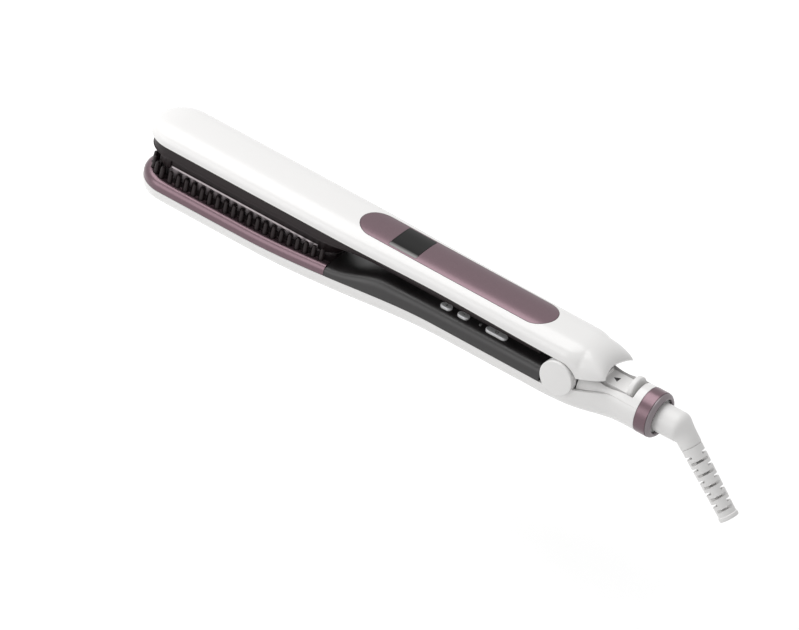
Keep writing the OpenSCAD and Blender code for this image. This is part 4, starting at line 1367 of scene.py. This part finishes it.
def key_sign(key, x, y, z):
    """The sign of a key whose top is centred at x, y, z."""
    if key == "power":
        ring = [(0.62, 0), (0.62, 0.19), (0.84, 0.19), (0.84, 0)]
        mark = turned(ring, (x, y, z - SIGN_SUNK), (0, 0, 1), 32)
        mark = carved(mark, prism(soft_box(x + 0.2, x + 1.2, y - 0.3, y + 0.3, 0.05), 0, 60))
        return joined(mark, sign_bar(x + 0.3, x + 1.1, y - 0.1, y + 0.1, z))
    mark = sign_bar(x - SIGN_HALF, x + SIGN_HALF, y - BAR_HALF, y + BAR_HALF, z)
    if key == "plus":
        mark = carved(mark, sign_bar(x - BAR_HALF, x + BAR_HALF, y - SIGN_HALF, y + SIGN_HALF, z), "UNION")
    return mark


print("signs stand", SIGN_UP, "mm proud")

# %% [markdown]
# ## Keys
# Three silver keys stand a little out of the housing. A plain prism would have a hard edge that catches no light.
# So their tops are soft slabs, whose rounded edge gives each a bright line, and a short stem reaches down to the
# switch. Key and sign ride on the key's own body and go down together.

# %% Keys
KEY_H, KEY_EDGE = 2.9, 0.55
for key, (low, high) in key_box.items():
    middle_x, middle_y = (low.x + high.x) / 2, (low.y + high.y) / 2
    top = soft_slab(lambda inset, key=key: key_outline(key, -inset), high.z - KEY_H, high.z, KEY_EDGE, 6)
    stem = peg(1.2, 4, (middle_x, middle_y, low.z), steps=32)
    piece(key + "_key_top", joined(top, stem), key + "_key", "button_silver", key + "_button")
    piece(key + "_sign", key_sign(key, middle_x, middle_y, high.z), key + "_key", "black_housing")

# %% [markdown]
# ## Hinge caps
# Each end of the pin is hidden by a flat round cap with a small radius at its edge. A turned profile gives that
# radius, which catches a thin line of light. A cylinder's sharp edge would not.

# %% Hinge caps
CAP_EDGE = 0.5
cap_t = cap_high.y - cap_low.y
profile = [(0, cap_t)] + arc(cap_r - CAP_EDGE, cap_t - CAP_EDGE, CAP_EDGE, 90, 0, 8) + [(cap_r, 0), (0, 0)]
for name, side in (("near", -1), ("far", 1)):
    cap = turned(profile, (hinge_x, side * grip_r, hinge_z), (0, side, 0), 128)
    piece("hinge_disc_" + name, cap, "lower_arm", "white_shell", "hinge_cap_" + name)

# %% [markdown]
# ## Ring
# A rose ring closes the tail, and a grey lip lies round the cord's exit. One turned solid with two materials would
# do, but on the real one they are two parts with a fine groove between them, so two profiles are turned.

# %% Ring
RING_SPLIT = 6.5
ring_w = box_mm("accent_ring")[1].x - tail_end
ring_r = tail_r + 0.12
bore = tail_r - wall
band_profile = [(bore, 0.15), (ring_r - 0.15, 0.15), (ring_r, 0.35), (ring_r, RING_SPLIT - 0.15),
                (ring_r - 0.15, RING_SPLIT), (bore, RING_SPLIT), (bore, 0.15)]
lip_profile = [(bore, RING_SPLIT), (ring_r - 0.35, RING_SPLIT), (ring_r - 0.35, RING_SPLIT + 0.2),
               (ring_r - 0.2, RING_SPLIT + 0.35), (ring_r - 0.2, ring_w - 1.6), (ring_r - 0.4, ring_w - 1.2),
               (ring_r - 1.3, ring_w - 0.2), (ring_r - 1.6, ring_w), (bore - 0.5, ring_w),
               (bore - 0.8, ring_w - 0.3), (bore - 1.1, ring_w - 1.2), (bore, ring_w - 1.7), (bore, RING_SPLIT)]
for name, profile, finish in (("rose_ring", band_profile, rose), ("ring_lip", lip_profile, trim_grey)):
    piece(name, turned(profile, (tail_end, 0, tail_z), (1, 0, 0), 128), "lower_arm", "rose_trim", "accent_ring",
          material=finish)

# %% [markdown]
# ## Path of the elbow
# The elbow leaves the tail straight, turns down in a tight bend and ends thinner at the strain relief. A tube round
# a curve would fold at the inside of such a bend. So the stations turn about a pivot just under the inner side, and
# each radius is chosen so that the outer side runs straight to a corner, which a soft minimum rounds.

# %% Path of the elbow
NECK_R, SPINDLE_R, CORD_R = 7.5, 6.1, 3.2
INNER_R, LEG_R, CORNER = 1.0, 5.6, 2.5
RELIEF_X0, RELIEF_R0 = 9.8, 5.35
BEND_STEPS, LEG_STEPS = 16, 14
droop = math.radians(44.7)
axis_down = Vector((math.cos(droop), 0, -math.sin(droop)))
elbow_at = Vector((box_mm("accent_ring")[1].x + 11.6, 0, tail_z))
socket_end = box_mm("swivel_socket")[1].x
spindle_x0 = box_mm("swivel_elbow")[0].x
pivot_back = ((INNER_R + NECK_R) * math.cos(droop) - (INNER_R + LEG_R)) / math.sin(droop)
pivot = elbow_at + Vector((pivot_back, 0, -INNER_R - NECK_R))
reach = pivot_back * math.cos(droop) + (INNER_R + NECK_R) * math.sin(droop)


def elbow_path():
    """Stations of the elbow: a point, a direction and a radius."""
    stations = [(Vector((spindle_x0, 0, tail_z)), 0, SPINDLE_R - 0.3),
                (Vector((spindle_x0 + 0.3, 0, tail_z)), 0, SPINDLE_R),
                (Vector((socket_end + 0.3, 0, tail_z)), 0, SPINDLE_R),
                (Vector((socket_end + 0.31, 0, tail_z)), 0, NECK_R)]
    stations += [(Vector((x, 0, tail_z)), 0, NECK_R)
                 for x in steps_between(socket_end + 1, pivot.x, 1.0)[:-1]]
    for i in range(BEND_STEPS + 1):
        a = droop * i / BEND_STEPS
        straight = ((INNER_R + 2 * LEG_R) / math.cos(droop - a) - INNER_R) / 2
        r = -math.log(math.exp(-CORNER * NECK_R) + math.exp(-CORNER * straight)) / CORNER
        stations.append((pivot + Vector((math.sin(a), 0, math.cos(a))) * (INNER_R + r), a, r))
    for i in range(1, LEG_STEPS + 1):
        along = mix(reach, RELIEF_X0 - 0.12, i / LEG_STEPS)
        r = mix(LEG_R, RELIEF_R0 + 0.1, i / LEG_STEPS)
        stations.append((elbow_at + axis_down * along, droop, r - (0.15 if i == LEG_STEPS else 0)))
    return stations


stations = elbow_path()
print("elbow stations", len(stations), "and reach", round(reach, 1), "mm")

# %% [markdown]
# ## Elbow
# The elbow is a soft white moulding with the cord's bore through it. A closed tube would look the same from the
# side, but its end is open to view. So two skins over the same stations, the outer one and the bore, are joined at
# both ends.

# %% Elbow
ELBOW_SIDES = 72


def swept(stations):
    """Circles at the stations, square to their directions."""
    rows = []
    for at, a, r in stations:
        up_dir = Vector((math.sin(a), 0, math.cos(a)))
        rows.append([at + (Vector((0, 1, 0)) * math.cos(b) + up_dir * math.sin(b)) * r
                     for b in (math.tau * i / ELBOW_SIDES for i in range(ELBOW_SIDES))])
    return rows


elbow = bmesh.new()
outer_skin = add_skin(elbow, swept(stations), closed=True)
inner_skin = add_skin(elbow, swept([(at, a, CORD_R) for at, a, r in stations]), closed=True)
for j in (0, -1):
    for i in range(ELBOW_SIDES):
        k = (i + 1) % ELBOW_SIDES
        elbow.faces.new((outer_skin[j][i], outer_skin[j][k], inner_skin[j][k], inner_skin[j][i]))
piece("cord_elbow", tidy(elbow), "cord_exit", "white_soft", "swivel_elbow", sharp=40)

# %% [markdown]
# ## Strain relief
# The relief keeps the cord from kinking: a tapered tube with a thick end, slotted from alternate sides so that it
# can bend. A striped bump would look right from the front only, so the slots are real cuts. One round cornered
# block is set down again and again along the tube, by turns in two planes at right angles.

# %% Strain relief
RELIEF_R1, RELIEF_LEN, END_STEP = 4.7, 39.2, 0.35
SLOT_W, FIRST_SLOT, SLOT_PAIRS = 1.5, 4.5, 5
LAST_SLOT = 4.0465
TAPER_STEPS = 12
relief_profile = [(CORD_R, 0), (RELIEF_R0 - END_STEP, 0), (RELIEF_R0, END_STEP)]
relief_profile += [(mix(RELIEF_R0, RELIEF_R1, i / TAPER_STEPS), mix(END_STEP, RELIEF_LEN - 2.3, i / TAPER_STEPS))
                   for i in range(1, TAPER_STEPS + 1)]
relief_profile += [(RELIEF_R1 + 0.35, RELIEF_LEN - 2), (RELIEF_R1 + 0.4, RELIEF_LEN - 1.8),
                   (RELIEF_R1 + 0.4, RELIEF_LEN - 0.4), (RELIEF_R1 + 0.1, RELIEF_LEN), (CORD_R, RELIEF_LEN),
                   (CORD_R, 0)]
relief_at = elbow_at + axis_down * RELIEF_X0
relief = turned(relief_profile, relief_at, axis_down, 72)
slot_step = (RELIEF_LEN - FIRST_SLOT - LAST_SLOT - SLOT_W) / (2 * SLOT_PAIRS - 1)
side_dir, up_dir = Vector((0, 1, 0)), Vector((math.sin(droop), 0, math.cos(droop)))
slots = []
for i in range(2 * SLOT_PAIRS):
    a = math.radians(45 + 90 * (i % 2))
    out = side_dir * math.cos(a) + up_dir * math.sin(a)
    wide = up_dir * math.cos(a) - side_dir * math.sin(a)
    start = relief_at + axis_down * (FIRST_SLOT - SLOT_W / 2 + i * slot_step)
    for sign in (-1, 1):
        cut = prism(soft_box(0, SLOT_W, -4.4, 4.4, 0.5), CORD_R - 0.6, 9)
        facing = Matrix((axis_down, wide * sign, out * sign)).transposed().to_4x4()
        bmesh.ops.transform(cut, matrix=Matrix.Translation(start) @ facing, verts=cut.verts)
        slots.append(tidy(cut))
relief = carved(relief, joined(*slots))
piece("slotted_relief", relief, "cord_exit", "white_soft", "strain_relief", sharp=35)

# %% [markdown]
# ## Lock
# The lock is a white slide with a half round thumb fin. Its tongue reaches under the upper shell, and a foot with
# a clip goes down through the slot and holds it. Each part is a small solid of its own kind: slabs, a turned disc
# cut in half, and prisms. They overlap, so together they look like one moulding.

# %% Lock slider
TONGUE_Z = 27.1
SLIDE_HALF, FIN_T, FIN_EDGE = 5.9, 3.0, 0.9
SLIDE_CLEAR = 0.1
plate_top = 28.2
fin_r = RECESS_HALF - 1.1
tongue = soft_slab(lambda inset: soft_box(lock_low.x + inset, lock_low.x + 4 - inset, -5 + inset, 5 - inset, 0.8),
                   TONGUE_Z, box_mm("hinge_bracket")[1].z - 3.4, 0.4)
plate = soft_slab(lambda inset: soft_box(lock_low.x + 3 + inset, lock_high.x - 1 - inset, -SLIDE_HALF + inset,
                                         SLIDE_HALF - inset, 0.8), RECESS_Z + SLIDE_CLEAR, plate_top, 0.3)
fin_round = arc(fin_r - FIN_EDGE, FIN_EDGE, FIN_EDGE, -90, 0, 6)
fin_round += [(r, FIN_T - h) for r, h in reversed(fin_round)]
fin = turned([(0, 0)] + fin_round + [(0, FIN_T)], (lock_high.x - FIN_T, 0, plate_top - 0.2), (1, 0, 0))
fin = carved(fin, prism(soft_box(lock_high.x - 8, lock_high.x + 3, -20, 20, 0.1), 0, RECESS_Z + SLIDE_CLEAR))
foot_x0, foot_x1 = lock_low.x + 11, lock_low.x + 16
clip_z = RECESS_Z - 1.1
foot = prism(soft_box(foot_x0, foot_x1, -1.8, 1.8, 0.3), RECESS_Z - 2, RECESS_Z + 0.5)
clip = prism(soft_box(foot_x0, foot_x1, -4, 4, 0.3), clip_z - 1.4, clip_z)
piece("lock_slide_top", joined(tongue, plate, fin, foot, clip), "lock", "white_soft", "lock_slider")

# %% [markdown]
# ## Arrow
# A small dark arrow on the slide points to the hinge, the way to push it. It could be drawn in the material, but
# like the keys' signs it is a thin pad, which keeps its edges crisp.

# %% Arrow
ARROW_LEN, ARROW_HALF = 3, 1.9
arrow_x = lock_low.x + 7.0
arrow = prism([(arrow_x, 0), (arrow_x + ARROW_LEN, -ARROW_HALF), (arrow_x + ARROW_LEN, ARROW_HALF)],
              plate_top - 0.1, plate_top + SIGN_UP)
piece("lock_arrow", arrow, "lock", "black_housing")
print("pieces made here", len(made))
